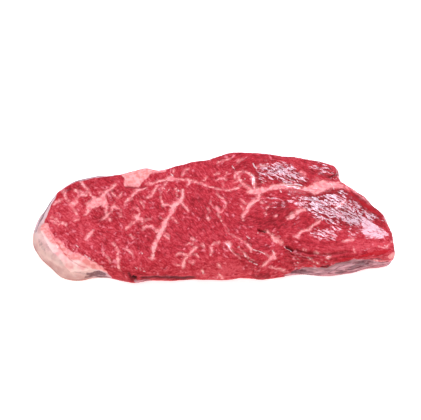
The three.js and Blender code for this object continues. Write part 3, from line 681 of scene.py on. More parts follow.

# Each fold's last number is how dark it is painted: blood, and shade painted in the crease and under the
# overhanging front edge.
FOLDS = (
    Fold("line in the fat cap", ((51, 234.5), (53.5, 236.7), (55.5, 240.5), (58.5, 245), (62.5, 250.3),
        (66.5, 255.4), (70.5, 259.5), (74.5, 262.5), (80.5, 266), (87, 268)), 0.4, 0.8, 0.4, 0.0),
    Fold("below the wedge", ((124, 186.3), (130, 187), (137, 187.2), (147, 186.5)), 0.9, 1.0, 0.2, 0.45),
    Fold("front fold", ((283, 245), (290, 248.5), (298, 251), (308, 253.5), (320, 254.5), (337, 254),
        (352, 251.5)), 1.2, 1.5, 0.4, 0.3),
    Fold("lower front fold", ((288, 253), (301, 257), (312, 258), (327, 257)), 0.7, 1.2, 0.4, 0.15),
    Fold("upper front fold", ((297, 240.5), (312, 244), (327, 244.5), (345, 246)), 0.5, 1.2, 0.4, 0.1),
    Fold("behind the right rim", ((350, 190.5), (359, 198.5), (368, 207), (381, 218)), 1.1, 2.2, 0.2, 0.15),
    Fold("end of the upper muscle", ((326, 178), (333, 176), (340, 174.5)), 1.0, 1.0, 0.3, 0.5),
    Fold("nick, back left", ((66, 190), (69, 189.2), (72, 188.4)), 1.2, 1.0, 0.2, 0.7),
    Fold("second nick, back left", ((76, 186.5), (79, 186)), 0.8, 0.9, 0.2, 0.5),
    Fold("strand, upper end", ((311, 160.5), (319, 163), (327, 166.5), (334, 171)), 0.7, 0.7, 0.5, 0.35),
    Fold("second strand, upper end", ((313, 166), (321, 168), (329, 171.5), (337, 175)), 0.7, 0.7, 0.5, 0.35),
    Fold("third strand, upper end", ((309, 171), (318, 172.5), (327, 176), (334, 178)), 0.6, 0.8, 0.5, 0.3),
    Fold("crevice", ((257, 230.6), (262, 231.2), (267, 231.4)), 2.4, 1.1, 0.3, 0.9),
    Fold("crevice by the fold", ((284.5, 245.5), (289, 248), (293, 251)), 2.2, 1.2, 0.3, 0.85),
    Fold("upper tear", ((234, 244), (240, 247.5), (247, 251), (254, 252), (262, 253.5)), 0.9, 0.9, 0.9, 0.1),
    Fold("lower tear", ((229, 249), (238, 255), (248, 260.5), (258, 264)), 0.9, 0.9, 0.9, 0.1),
    Fold("under the lip of the lean", ((298, 270), (306, 268.8), (318, 269.8), (328, 268.8), (336, 264.8),
        (348, 262), (364, 261), (382, 262.3)), 0.9, 1.2, 0.7, 0.25),
    Fold("hole under the edge", ((131.5, 277), (134.5, 279), (137, 279.6)), 2.4, 2.3, 0.1, 1.0),
    Fold("nick over the hole", ((128, 272.5), (129.5, 275.5), (132, 278)), 0.8, 1.0, 0.1, 0.8),
    Fold("under the edge", ((137, 278.5), (147, 278), (157, 277), (169, 277.6), (183, 278), (200, 278)), 0.8,
        1.6, 0.1, 0.85),
    Fold("crevice over the membrane", ((320, 268), (325, 267.2), (330, 266.2)), 1.8, 1.1, 0.2, 0.9),
)

WET_PATCHES = (
    Patch("upper gloss", ((258.5, 171.5), (263.5, 171), (263, 165.5), (262.5, 160), (268.5, 158.5),
        (276.5, 161), (284.5, 163.5), (293.5, 166.5), (300.5, 171), (304.5, 177), (305.5, 181), (300.5, 182),
        (294.5, 180.5), (286.5, 179.9), (276.5, 180.9), (266.5, 182.5), (260.5, 183.5), (259.1, 178.5))),
    Patch("gloss over the seam", ((276.5, 182.1), (282.5, 181.5), (288.5, 183.5), (295.5, 184.1),
        (301.1, 183.5), (301.5, 186.8), (294.5, 186.8), (286.5, 185.1), (277.5, 185.1))),
    Patch("gloss, left of the lower", ((286.5, 192.5), (292.5, 189.9), (300.5, 190), (306.5, 193),
        (314.5, 196.1), (322.5, 195.5), (328.5, 190.1), (334.5, 188.5), (343.5, 189.9), (348.5, 195.5),
        (356.5, 201.1), (362.5, 206.5), (370.5, 210.5), (377.5, 215), (381.1, 220.5), (376.5, 219.9),
        (368.5, 219.5), (361.5, 219.1), (356.5, 223.1), (350.5, 224.1), (344.5, 222.5), (338.5, 224.1),
        (332.5, 224.5), (325.5, 224.1), (318.5, 219.5), (312.5, 214.5), (306.5, 210.1), (300.5, 208.5),
        (294.5, 206.1), (287.5, 202.5))),
    Patch("gloss, lower", ((307.5, 232.5), (313.5, 230.5), (318.5, 228.1), (326.5, 228.5), (333.5, 229.9),
        (339.5, 233.5), (336.5, 238.1), (330.5, 241.1), (323.5, 240.5), (316.5, 238.1), (309.5, 236.5))),
    Patch("gloss, between", ((328.5, 224.5), (336.5, 223.1), (342.5, 224.5), (341.5, 230.5), (334.5, 231.5),
        (329.5, 229.1))),
    Patch("bright patch", ((358.5, 221.1), (367.5, 219.8), (372.5, 221.5), (376.5, 225), (382.5, 228),
        (386.5, 231.5), (388.5, 235.5), (383.5, 238.5), (374.5, 238.8), (366.5, 237.5), (361.5, 233.9),
        (360.3, 227.5))),
    Patch("gloss at the rim", ((381.5, 215.1), (385.1, 218.1), (387.3, 222.1), (383.5, 222.1),
        (381.3, 219.5))),
    Patch("arc by the loop", ((250.1, 173.5), (252.5, 173.5), (254.9, 177.5), (256.1, 181.5), (256.5, 187.5),
        (253.1, 187.5), (251.5, 181.5), (249.9, 177))),
    Patch("streak over the loop", ((251.8, 162), (255.1, 164.5), (257.5, 169), (255.5, 169.1), (253, 166.5))),
)

WET_SPOTS = (
    Spot((222, 179), (5, 4), 20, 0.3),
    Spot((166, 190), (9, 5), 0, 0.4),
    Spot((92, 258), (5, 2.5), 30, 0.5),
    Spot((243, 251), (22, 6), 25, 0.2),
    Spot((325, 169), (17, 8), 22, 0.8),
    Spot((292, 185), (14, 3.5), 4, 1.2),
    Spot((300, 194), (15, 6), 20, 1.2),
    Spot((331, 190), (5, 8), -10, 1.1),
    Spot((282, 172), (26, 10), 22, 1.15),
    Spot((335, 208), (36, 13), 24, 1.2),
    Spot((273, 201), (17, 7), 18, 0.4),
    Spot((300, 222), (14, 6), 30, 0.2),
    Spot((354, 228), (11, 9), 20, 0.7),
    Spot((330, 262), (60, 12), -6, 0.3),
)
GLAZE_SPOTS = (Spot((374, 230.5), (18, 11), 22, 1.0), Spot((372, 246), (22, 8), -5, 0.6))
TONE_SPOTS = (
    Spot((97, 214), (10, 9), 0, -0.5),
    Spot((73, 188), (9, 3.5), -22, -0.5),
    Spot((84, 200), (6, 5), 0, -0.4),
    Spot((112, 195), (6, 6), 0, -0.5),
    Spot((166, 209), (5, 3.5), 0, -0.6),
    Spot((196, 208), (8, 12), -30, -0.3),
    Spot((252, 222), (14, 6), 25, -0.35),
    Spot((258, 244), (12, 6), 20, -0.5),
    Spot((120, 232), (16, 14), 0, 0.25),
    Spot((178, 222), (62, 38), 0, -0.12),
    Spot((190, 266), (60, 10), 0, 0.4),
    Spot((225, 272), (30, 6), 0, 0.25),
    Spot((345, 249), (30, 7), -8, 0.5),
    Spot((275, 216), (20, 12), -25, -0.6),
    Spot((258, 181), (3.5, 12), -8, -0.8),
    Spot((70, 225), (30, 30), 0, 0.45),
    Spot((318, 174), (22, 9), 20, -0.1),
    Spot((368, 205), (24, 5), 45, -0.35),
    Spot((372, 252), (30, 5), -6, -0.5),
    Spot((240, 165), (40, 10), 0, -0.2),
    Spot((284, 174), (27, 9), 20, -0.6),
    Spot((343, 208), (46, 18), 20, -0.9),
    Spot((368, 234), (26, 13), 10, 0.4),
    Spot((261, 276), (9, 4), 0, -0.8),
    Spot((372, 252), (22, 9), -6, 0.6),
)
RICH_SPOTS = (
    Spot((90, 225), (60, 45), 0, 0.35),
    Spot((76, 250), (27, 5.5), 35, 0.95),
    Spot((165, 225), (50, 50), 0, 0.05),
    Spot((275, 216), (24, 14), -25, -0.35),
    Spot((350, 225), (60, 40), 0, -0.4),
    Spot((284, 174), (40, 12), 10, -0.35),
)

GRAINS = (
    Grain((60, 215), 40), Grain((110, 240), 35), Grain((150, 240), 45), Grain((200, 215), 52),
    Grain((210, 190), 55), Grain((225, 215), 50), Grain((240, 250), 38), Grain((250, 235), 34),
    Grain((225, 265), 30), Grain((180, 265), 20), Grain((235, 163), -18), Grain((205, 170), 60),
    Grain((262, 197), 10), Grain((280, 197), 18), Grain((300, 195), 28), Grain((262, 172), 38),
    Grain((280, 175), 27), Grain((300, 172), 30), Grain((322, 168), 22), Grain((330, 200), 20),
    Grain((350, 210), 25), Grain((372, 215), 30), Grain((320, 234), 30), Grain((345, 230), 24),
    Grain((255, 215), -14), Grain((272, 224), -30), Grain((290, 215), -38), Grain((300, 240), 20),
    Grain((320, 252), 8), Grain((350, 250), -8), Grain((375, 245), -14), Grain((300, 258), 14),
    Grain((330, 260), -2), Grain((268, 262), -38),
)

SKINS = (
    Skin("fat cap, front", (-98, -40), 8.0, 1.0),
    Skin("fat cap, side", (-111, -18), 13.0, 1.0),
    Skin("left shoulder", (-99, 15), 18.5, 1.0),
    Skin("back, left", (-74, 28), 19.3, 1.0),
    Skin("back, fat wedge", (-42, 35), 18.0, 0.9),
    Skin("front, where the cap ends", (-68, -47), 8.0, 0.8),
    Skin("front, overhanging", (-40, -50), 4.0, 0.0),
    Skin("front, middle", (-10, -48), 0.0, 0.0),
    Skin("front, rolled down", (28, -48), 0.0, 0.0),
    Skin("front, over the membrane", (68, -44), 8.0, 1.0),
    Skin("tip, front", (98, -38), 8.0, 1.0),
    Skin("tip", (112, -20), 8.0, 0.3),
    Skin("tip, back", (100, 7), 6.0, 0.2),
    Skin("end of the upper muscle", (80, 32), 8.0, 0.3),
    Skin("back, right", (40, 45), 12.0, 0.7),
    Skin("back, middle", (0, 43), 13.0, 0.8),
)


def slants(places: np.ndarray, reach: float = 16.0) -> np.ndarray:
    """Tell which way the fibres run.

    Args:
        places: places in the picture, one row each.
        reach: how far each grain counts, in picture elements.

    Returns:
        Each place's slant, in radians clockwise in the picture.
    """
    turns = np.zeros((len(places), 2))
    for grain in GRAINS:
        weight = np.exp(-((places - np.array(grain.at)) ** 2).sum(axis=1) / reach**2)
        double = math.radians(2 * grain.slant)
        turns += weight[:, None] * np.array([math.cos(double), math.sin(double)])
    return 0.5 * np.arctan2(turns[:, 1], turns[:, 0])


@dataclass(frozen=True)
class Marbling:
    """Flecks of fat scattered through the lean: short bent lines and dots, more where the meat is rich."""

    corner: Place = (30.0, 148.0)
    size: Pair = (370.0, 134.0)
    gap: float = 3.7  # between flecks, in picture elements
    length: float = 2.2  # of a middling fleck
    length_varies: float = 0.6
    breadth: float = 1.5
    breadth_varies: float = 0.35
    bend: float = 0.25  # how far a fleck bows, as a share of half its length
    stray: Pair = (40.0, 18.0)  # degrees that flecks stray from the fibres, at the left and the right
    stray_between: Pair = (130.0, 230.0)  # columns between which that changes
    richness: float = 0.5  # of the lean away from RICH_SPOTS
    often: float = 0.75  # chance of a fleck for each unit of richness
    edge: float = 1.0  # how softly a fleck ends
    seed: int = 5

    def scatter(self) -> Iterator[tuple[Seam, float]]:
        """Draw the flecks.

        Yields:
            Each fleck as a short seam, and how white it is from 0 to 1.
        """
        chance = random.Random(self.seed)
        columns, rows = (int(side / self.gap) for side in self.size)
        for k in range(columns * rows):
            x = self.corner[0] + (k % columns + chance.uniform(0, 1)) * self.gap
            y = self.corner[1] + (k // columns + chance.uniform(0, 1)) * self.gap
            rich = self.richness + sum(spot.weight(np.array([[x, y]]))[0] for spot in RICH_SPOTS)
            stray = np.interp(x, self.stray_between, self.stray)
            turn = slants(np.array([[x, y]]))[0] + math.radians(chance.gauss(0, stray))
            half = 0.5 * self.length * chance.lognormvariate(0, self.length_varies)
            bend = chance.gauss(0, self.bend) * half
            along, across = (math.cos(turn), math.sin(turn)), (-math.sin(turn), math.cos(turn))
            path = [
                (x + t * half * along[0] + b * across[0], y + t * half * along[1] + b * across[1])
                for t, b in ((-1, 0), (-0.3, bend), (0.3, bend), (1, 0))
            ]
            wide = self.breadth * chance.lognormvariate(0, self.breadth_varies)
            white = 0.1 + 0.7 * chance.random() ** 1.5
            if chance.random() < self.often * rich:
                yield Seam("fleck", path, (0.4 * wide, wide, wide, 0.3 * wide)), white

    def paint(self, sheet: Sheet) -> np.ndarray:
        """Lay the flecks on the flesh.

        Args:
            sheet: the flesh's points.

        Returns:
            How much fleck lies at each point, from 0 to 1.
        """
        amount = np.zeros(len(sheet.places))
        for fleck, white in self.scatter():
            near = sheet.near(fleck.path, self.edge + self.breadth)
            shown = white * ease(fleck.outside(sheet.places[near]), self.edge, -self.edge)
            amount[near] = np.maximum(amount[near], shown)
        return amount


class Channel(Enum):
    """What is painted on the flesh, point by point."""

    SEAM = "seam"  # distance from the nearest seam's edge, in millimetres
    FAT = "fat"  # distance from the nearest fat patch's edge, in millimetres
    SILVER = "silver"  # 1 where the skin is silverskin, 0 where it is rind
    SKIN = "skin"  # 0 on the cut face to 1 on skin
    WET = "wet"  # 0 dry to 1 wet
    # Where the glaze lies, the material also paints a pale sheen.
    GLAZE = "glaze"  # 1 where a film of juice smooths the fibres
    SCARLET = "scarlet"  # 1 where the lean is wet and clear red
    TONE = "tone"  # -1 for deep red to 1 for paler red
    RICH = "rich"  # how much marbling there is
    FLECK = "fleck"  # how much scattered fat there is
    # A painted glint is a white speck that stands in for a highlight.
    PAINTED_GLINT = "painted_glint"  # 1 on a speck of white
    VEIN_AND_SHADE = "vein_and_shade"  # how dark a vein, a dried edge or the painted shade low on the rind is
    BLOOD_AND_SHADE = "blood_and_shade"  # how much dark blood and painted shade lie in a crease or under the front edge
    TURN = "turn"  # which way the fibres run: degrees counter-clockwise from +X, seen from above
    COARSE = "coarse"  # 0 where fibres are cut across, 1 where they lie along the face


@dataclass
class Slice:
    """The steak itself: the solid's form with the muscles' fibres, seams, folds and skin worked into it.

    Sizes are in millimetres.
    """

    view: View
    node: str = "sirloin_steak"
    name: str = "sirloin_flesh"
    grit: float = 1.32  # distance between points before the cut face is refined
    cut_height: float = 20.0  # of the cut face
    skin_reach: float = 16.0  # how far each place in SKINS counts
    picture_mm: float = 0.634  # size of one picture element on the steak
    wander: float = 0.9  # how far a drawn mark strays, in picture elements
    wander_gap: float = 4.5  # between the bends of its edge
    fibre: Pair = (5.0, 1.5)  # length of a ridge of fibre, and distance between ridges
    fibre_height: float = 0.25
    crinkle: Pair = (3.0, 0.8)  # the same of the crinkles in wet lean
    crinkle_height: float = 0.22
    crinkle_slant: float = 0.2  # from the fibres, in radians
    swell_height: float = 0.25  # of low swellings all over
    bundle_height: float = 0.2  # more of them in the lean
    clot_height: float = 0.16
    seam_depth: float = 0.3
    dried_depth: float = 0.35
    skin_height: float = 0.35  # of the dents in rind and silverskin
    levelled: float = 0.9  # how flat the thickest juice lies, from 0 to 1
    points: np.ndarray = field(init=False)
    normals: np.ndarray = field(init=False)
    facing: np.ndarray = field(init=False)  # 1 where the surface looks at the camera, below 0 behind
    folds: np.ndarray = field(init=False)  # height that the folds add, in millimetres
    ridges: np.ndarray = field(init=False)  # along the fibres, from about -1 to 1
    crinkles: np.ndarray = field(init=False)  # slantwise across them
    paint: dict[Channel, np.ndarray] = field(init=False, default_factory=dict)

    def build(self, finish: bpy.types.Material) -> bpy.types.Object:
        """Model, paint and dress the steak.

        Args:
            finish: the raw beef material.

        Returns:
            The finished piece.
        """
        flesh = self._close_up()
        self._refine(flesh)
        self._refine(flesh, wet=True)
        self._read(flesh)
        self._mark()
        self._sculpt(flesh)
        self._keep(flesh)
        flesh.data.materials.clear()
        flesh.data.materials.append(finish)
        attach(flesh, "root")
        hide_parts(self.node)
        faces = sum(len(face.vertices) - 2 for face in flesh.data.polygons)
        LOG.info("%s: %d points, %d triangles", flesh.name, len(flesh.data.vertices), faces)
        return flesh

    def _close_up(self) -> bpy.types.Object:
        """Copy the solid's surface and close it into one even skin of small faces.

        Returns:
            The steak as it goes on.
        """
        bpy.ops.object.select_all(action="DESELECT")
        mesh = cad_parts[self.node].data.copy()
        flesh = bpy.data.objects.new(self.name, mesh)
        bpy.context.scene.collection.objects.link(flesh)
        bpy.context.view_layer.objects.active = flesh
        flesh.select_set(True)
        bpy.ops.object.mode_set(mode="EDIT")
        bpy.ops.mesh.select_all(action="SELECT")
        bpy.ops.mesh.remove_doubles(threshold=0.00001)
        bpy.ops.object.mode_set(mode="OBJECT")
        even = flesh.modifiers.new("even faces", "REMESH")
        even.mode, even.voxel_size = "VOXEL", self.grit * MM
        bpy.ops.object.modifier_apply(modifier=even.name)
        soft = flesh.modifiers.new("soften", "SMOOTH")
        soft.factor, soft.iterations = 0.5, 6
        bpy.ops.object.modifier_apply(modifier=soft.name)
        return flesh

    def _refine(self, flesh: bpy.types.Object, wet: bool = False) -> None:
        """Halve the faces where detail is finest.

        Args:
            flesh: the steak.
            wet: whether only the wet areas are refined, rather than the cut face and the walls in view.
        """
        mesh = flesh.data
        normals, middles = np.empty(len(mesh.polygons) * 3), np.empty(len(mesh.polygons) * 3)
        mesh.polygons.foreach_get("normal", normals)
        mesh.polygons.foreach_get("center", middles)
        normals = normals.reshape(-1, 3)
        # These look up, to the front or to the left.
        fine = (normals[:, 2] > 0.15) | (normals[:, 1] < -0.75) | (normals[:, 0] < -0.7)
        if wet:
            fine &= normals @ self.view.axes()[2] > 0.2
            fine &= Sheet(self.view.picture(middles.reshape(-1, 3))).outside(WET_PATCHES) < 1.0
        for kind in (mesh.vertices, mesh.edges):
            kind.foreach_set("select", np.zeros(len(kind), bool))
        mesh.polygons.foreach_set("select", fine)
        bpy.ops.object.mode_set(mode="EDIT")
        bpy.ops.mesh.select_mode(type="FACE")
        bpy.ops.mesh.subdivide(number_cuts=1, smoothness=0.0)
        bpy.ops.object.mode_set(mode="OBJECT")
        soft = flesh.modifiers.new("soften", "SMOOTH")
        soft.factor, soft.iterations = 0.5, 3
        bpy.ops.object.modifier_apply(modifier=soft.name)
        bpy.ops.object.shade_smooth()

    def _read(self, flesh: bpy.types.Object) -> None:
        """Read the points and their normals from the mesh.

        Args:
            flesh: the steak.
        """
        mesh = flesh.data
        flat = np.empty(len(mesh.vertices) * 3)
        mesh.vertices.foreach_get("co", flat)
        self.points = flat.reshape(-1, 3).copy() / MM
        mesh.vertices.foreach_get("normal", flat)
        self.normals = flat.reshape(-1, 3).copy()
        self.facing = self.normals @ self.view.axes()[2]

    def _mark(self) -> None:
        """Paint every channel."""
        seen = self.points.copy()
        # The walls behind continue the marks at the rim.
        seen[self.facing < 0, 2] = self.cut_height
        wander = np.stack([lumps(self.points, self.wander_gap, seed) for seed in (11.0, 23.0)], axis=1)
        sheet = Sheet(self.view.picture(seen * MM) + self.wander * wander)
        self._draw(sheet)
        self._lay(sheet.places)
        self._fold(sheet)
        self._trim()

    def _draw(self, sheet: Sheet) -> None:
        """Paint fat, skin, juice and colour.

        Args:
            sheet: the steak's points.
        """
        drawn, paint = sheet.places, self.paint
        paint[Channel.SEAM] = sheet.outside(SEAMS + SEAM_PATCHES) * self.picture_mm
        paint[Channel.FAT] = np.clip(sheet.outside(FAT_PATCHES) * self.picture_mm, -12, 6)
        for channel, clear, edge, faint, share in (
            (Channel.VEIN_AND_SHADE, VEINS_AND_SHADE, (1.0, -0.8), SMUDGES, 0.5),
            (Channel.SCARLET, SCARLETS, (0.9, -0.9), BLUSHES, 0.3),
        ):
            soft = share * ease(sheet.outside(faint), 1.5, -1.2)
            paint[channel] = np.maximum(ease(sheet.outside(clear), *edge), soft)
        # Painted glints: thin white lines where highlights belong.
        painted_glints = [Seam("painted_glint", path, (0.9,)) for path in PAINTED_GLINTS]
        paint[Channel.PAINTED_GLINT] = ease(sheet.outside(painted_glints), 0.9, -0.5)
        wet = ease(sheet.outside(WET_PATCHES), 2.5, -3.0)
        paint[Channel.WET] = np.max([wet, *(spot.weight(drawn) for spot in WET_SPOTS)], axis=0)
        paint[Channel.GLAZE] = np.max([spot.weight(drawn) for spot in GLAZE_SPOTS], axis=0)
        for channel, spots, usual in ((Channel.TONE, TONE_SPOTS, 0.0), (Channel.RICH, RICH_SPOTS, 0.5)):
            paint[channel] = usual + np.sum([spot.weight(drawn) for spot in spots], axis=0)
        silver = sheet.outside(SILVERSKIN)
        skins = np.minimum(sheet.outside(SKIN_PATCHES), silver)
        paint[Channel.SKIN] = np.maximum(self._skin(), ease(skins, 0.5, -0.5))
        # Rind lies only at the left end, in front.
        elsewhere = ease(self.points[:, 0], -80.0, -60.0) + ease(self.points[:, 1], 0.0, 12.0)
        paint[Channel.SILVER] = np.clip(ease(silver, 4.0, -4.0) + elsewhere, 0, 1)
        paint[Channel.FLECK] = Marbling().paint(sheet)
        # The knife crosses the fibres at the left and runs along them at the right.
        paint[Channel.COARSE] = ease(self.points[:, 0], -55, 55)

    def _lay(self, drawn: np.ndarray) -> None:
        """Find which way the fibres run, and their ridges and crinkles.

        Args:
            drawn: the points' places in the picture.
        """
        slant = slants(drawn)
        flat = np.sin(slant) / math.sin(math.radians(self.view.elevation))
        turn = -np.degrees(np.arctan2(flat, np.cos(slant)))
        # On a wall, fibres and the streaks of the skin run along it.
        wall = (np.degrees(np.arctan2(-self.normals[:, 0], self.normals[:, 1])) + 90) % 180 - 90
        turn = np.where(np.abs(self.normals[:, 2]) < 0.6, np.where(wall > 57, -85, wall), turn)
        # The material mixes threads from -90 to 60 degrees, and needs one on each side of the turn.
        self.paint[Channel.TURN] = np.clip(turn, -85, 55)
        self.ridges = self._threads(drawn, slant, self.fibre)
        self.crinkles = self._threads(drawn, slant + self.crinkle_slant, self.crinkle)

    def _fold(self, sheet: Sheet) -> None:
        """Add up the folds' heights, and paint the blood and the shade in them.

        Args:
            sheet: the steak's points.
        """
        self.folds = np.zeros(len(sheet.places))
        blood_and_shade = np.zeros(len(sheet.places))
        for fold in FOLDS:
            near = sheet.near(fold.path, 5 * fold.width)
            height, dark = fold.relief(sheet.places[near])
            self.folds[near] += height
            blood_and_shade[near] = np.maximum(blood_and_shade[near], dark)
        self.paint[Channel.BLOOD_AND_SHADE] = blood_and_shade

    def _trim(self) -> None:
        """Take marks off the walls that they don't belong on."""
        shown = ease(self.facing, 0.05, 0.3)
        self.folds *= shown
        for channel in (Channel.BLOOD_AND_SHADE, Channel.PAINTED_GLINT):
            self.paint[channel] *= shown
        self.paint[Channel.WET] *= ease(self.facing, 0.0, 0.35)
        # At the left, dried edges keep to the rim of the cut face.
        rim = np.maximum(ease(self.points[:, 2], 12.5, 17.5), ease(self.points[:, 0], -95, -80))
        self.paint[Channel.VEIN_AND_SHADE] *= ease(self.facing, -0.1, 0.1) * rim

    def _skin(self) -> np.ndarray:
        """Find where the outer skin lies: on the walls, up to the lip of the cut face.

        Returns:
            The skin's share at each point, from 0 to 1.
        """
        weights, lips, covers = 1e-9, 0.0, 0.0
        for skin in SKINS:
            gap = self.points[:, :2] - np.array(skin.at)
            weight = np.exp(-(gap**2).sum(axis=1) / self.skin_reach**2)
            weights, lips, covers = weights + weight, lips + weight * skin.lip, covers + weight * skin.cover
        lips, covers = lips / weights, covers / weights
        below = ease(lips - self.points[:, 2] + 0.8 * lumps(self.points, 5.0, 3.0), -0.8, 0.8)
        return below * covers * ease(np.abs(self.normals[:, 2]), 0.97, 0.8)

    def _threads(self, drawn: np.ndarray, slant: np.ndarray, size: Pair) -> np.ndarray:
        """Long thin lumps that lie along the fibres, made by mixing straight ones that point six ways.

        Args:
            drawn: the points' places in the picture.
            slant: which way the fibres run there, in radians.
            size: length and breadth of a lump, in millimetres.

        Returns:
            A height for each point, from about -1 to 1.
        """
        turn = slant / math.pi * WAYS % WAYS
        first, between = np.floor(turn).astype(int), turn % 1 * math.pi / 2
        height = np.zeros(len(drawn))
        for way in range(WAYS):
            angle = math.pi * way / WAYS
            axes = np.array([[math.cos(angle), -math.sin(angle)], [math.sin(angle), math.cos(angle)]])
            for follows, share in ((first % WAYS, np.cos(between)), ((first + 1) % WAYS, np.sin(between))):
                there = follows == way
                laid = drawn[there] * self.picture_mm @ axes / np.array(size)
                rows = np.column_stack([laid, np.full(len(laid), 7.3 * way + size[0])])
                height[there] += share[there] * lumps(rows, 1.0)
        return height

    def _sculpt(self, flesh: bpy.types.Object) -> None:
        """Raise the fibres and press in the seams and folds, leaving the foot flat.

        Args:
            flesh: the steak.
        """
        paint, points = self.paint, self.points
        lean = ease(paint[Channel.SEAM], -0.3, 0.6) * ease(paint[Channel.FAT], -0.5, 0.8)
        lean *= 1 - paint[Channel.SKIN]
        rough = 1 - 0.8 * paint[Channel.GLAZE]
        wet = np.clip(paint[Channel.WET], 0, 1)
        coarse = paint[Channel.COARSE] * rough * lean
        height = coarse * (self.fibre_height * self.ridges + self.crinkle_height * wet * self.crinkles)
        height += rough * (self.swell_height + self.bundle_height * lean) * lumps(points, 7.0, 2.0)
        height += rough * self.clot_height * lean * lumps(points, 2.4, 8.0)
        height -= self.seam_depth * ease(paint[Channel.SEAM], 0.9, -0.6)
        height += self.folds
        height += self._level()
        height -= self.dried_depth * paint[Channel.VEIN_AND_SHADE]
        height += self.skin_height * paint[Channel.SKIN] * lumps(points, (9.0, 9.0, 3.0), 6.0)
        height *= ease(self.normals[:, 2], -0.95, -0.5)
        moved = points + self.normals * height[:, None]
        moved[:, 2] = np.maximum(moved[:, 2], 0.0)
        flesh.data.vertices.foreach_set("co", (moved * MM).ravel())
        flesh.data.update()

    def _level(self) -> np.ndarray:
        """Lay the thickest juice flat, on the plane that fits it best.

        Returns:
            The height to add at each point.
        """
        film = self.levelled * ease(self.paint[Channel.GLAZE], 0.6, 0.95) * (self.facing > 0)
        pool = self.points[film > 0.5]
        middle = pool.mean(axis=0)
        upright = np.linalg.svd(pool - middle, full_matrices=False)[2][2]
        upright *= np.sign(upright[2])
        return film * ((middle - self.points) @ upright) / np.clip(self.normals @ upright, 0.3, 1)

    def _keep(self, flesh: bpy.types.Object) -> None:
        """Store every channel on the mesh for the material.

        Args:
            flesh: the steak.
        """
        for channel, values in self.paint.items():
            stored = flesh.data.attributes.new(channel.value, "FLOAT", "POINT")
            stored.data.foreach_set("value", np.asarray(values, np.float32))


@dataclass(frozen=True)
class RawBeef:
    """Raw beef: moist red lean, marbled and seamed with pink fat, cream cap fat and grey-pink skin.

    A knife cut it, so the lean is satin; where fibres were pulled apart a film of juice makes it wet and
    streaked with light. Fat is smoother and duller.
    """

    lean: str = "b82230"
    deep: str = "8a0c19"
    pale: str = "d64d56"
    # Dark red of the blood and of the painted shade in creases.
    blood_and_shade: str = "3c060c"
    haze: str = "e46e77"
    fleck: str = "f08a95"
    seam_fat: str = "fdb0ab"
    seam_fat_deep: str = "ee8286"
    strip_fat: str = "ea8a84"
    cap_fat: str = "fdd6cd"
    cap_fat_deep: str = "f4aaa6"
    scarlet: str = "c40d1b"
    # Pale lavender over the thickest juice: a painted sheen that adds to the lamps' real reflection there.
    film: str = "f6c6d0"
    rind: str = "efc6bc"
    rind_grey: str = "d6a39d"
    rind_foot_shaded: str = "a76a5e"
    silverskin: str = "e8c8ca"
    silverskin_dull: str = "b8727c"
    membrane: str = "d69ea4"
    membrane_dull: str = "883c49"
    # Dark of the veins and dried edges, also used for painted shade.
    vein_and_shade: str = "5e2a33"
    # White of the painted glints, which stand in for highlights.
    painted_glint: str = "fff2ee"
    grain_mm: float = 0.9  # ends of single fibres
    clot_mm: float = 2.6  # bundles of fibre, cut across
    bundle_mm: float = 6.0  # groups of those bundles
    blotch_mm: float = 16.0
    painted_sheen_share: float = 0.2  # how strongly each colour covers the one below
    scarlet_share: float = 0.65
    vein_and_shade_share: float = 0.82
    painted_glint_share: float = 0.7
    fleck_share: float = 0.85
    haze_share: float = 0.5
    halo_share: float = 0.4  # of the fat beside a seam
    dry_roughness: float = 0.65
    wet_roughness: float = 0.22
    fat_roughness: float = 0.06  # added in fat
    juice_roughness: float = 0.12
    juice_ior: float = 1.95  # more than the 1.35 of meat juice, so that thin streaks of light still show
    flesh_ior: float = 1.4
    relief_mm: float = 0.25  # of the finest fibres and grain

    def build(self) -> bpy.types.Material:
        """Make the material.

        Returns:
            The material, which reads the steak's painted channels.
        """
        material = bpy.data.materials.new("raw beef, lean and fat")
        material.use_nodes = True
        tree = material.node_tree
        tree.nodes.clear()
        where = add_node(tree, "TexCoord", output="Object")
        channels = {c: add_node(tree, "Attribute", output="Fac", attribute_name=c.value) for c in Channel}
        BeefNodes(self, tree, where, channels).finish()
        return material


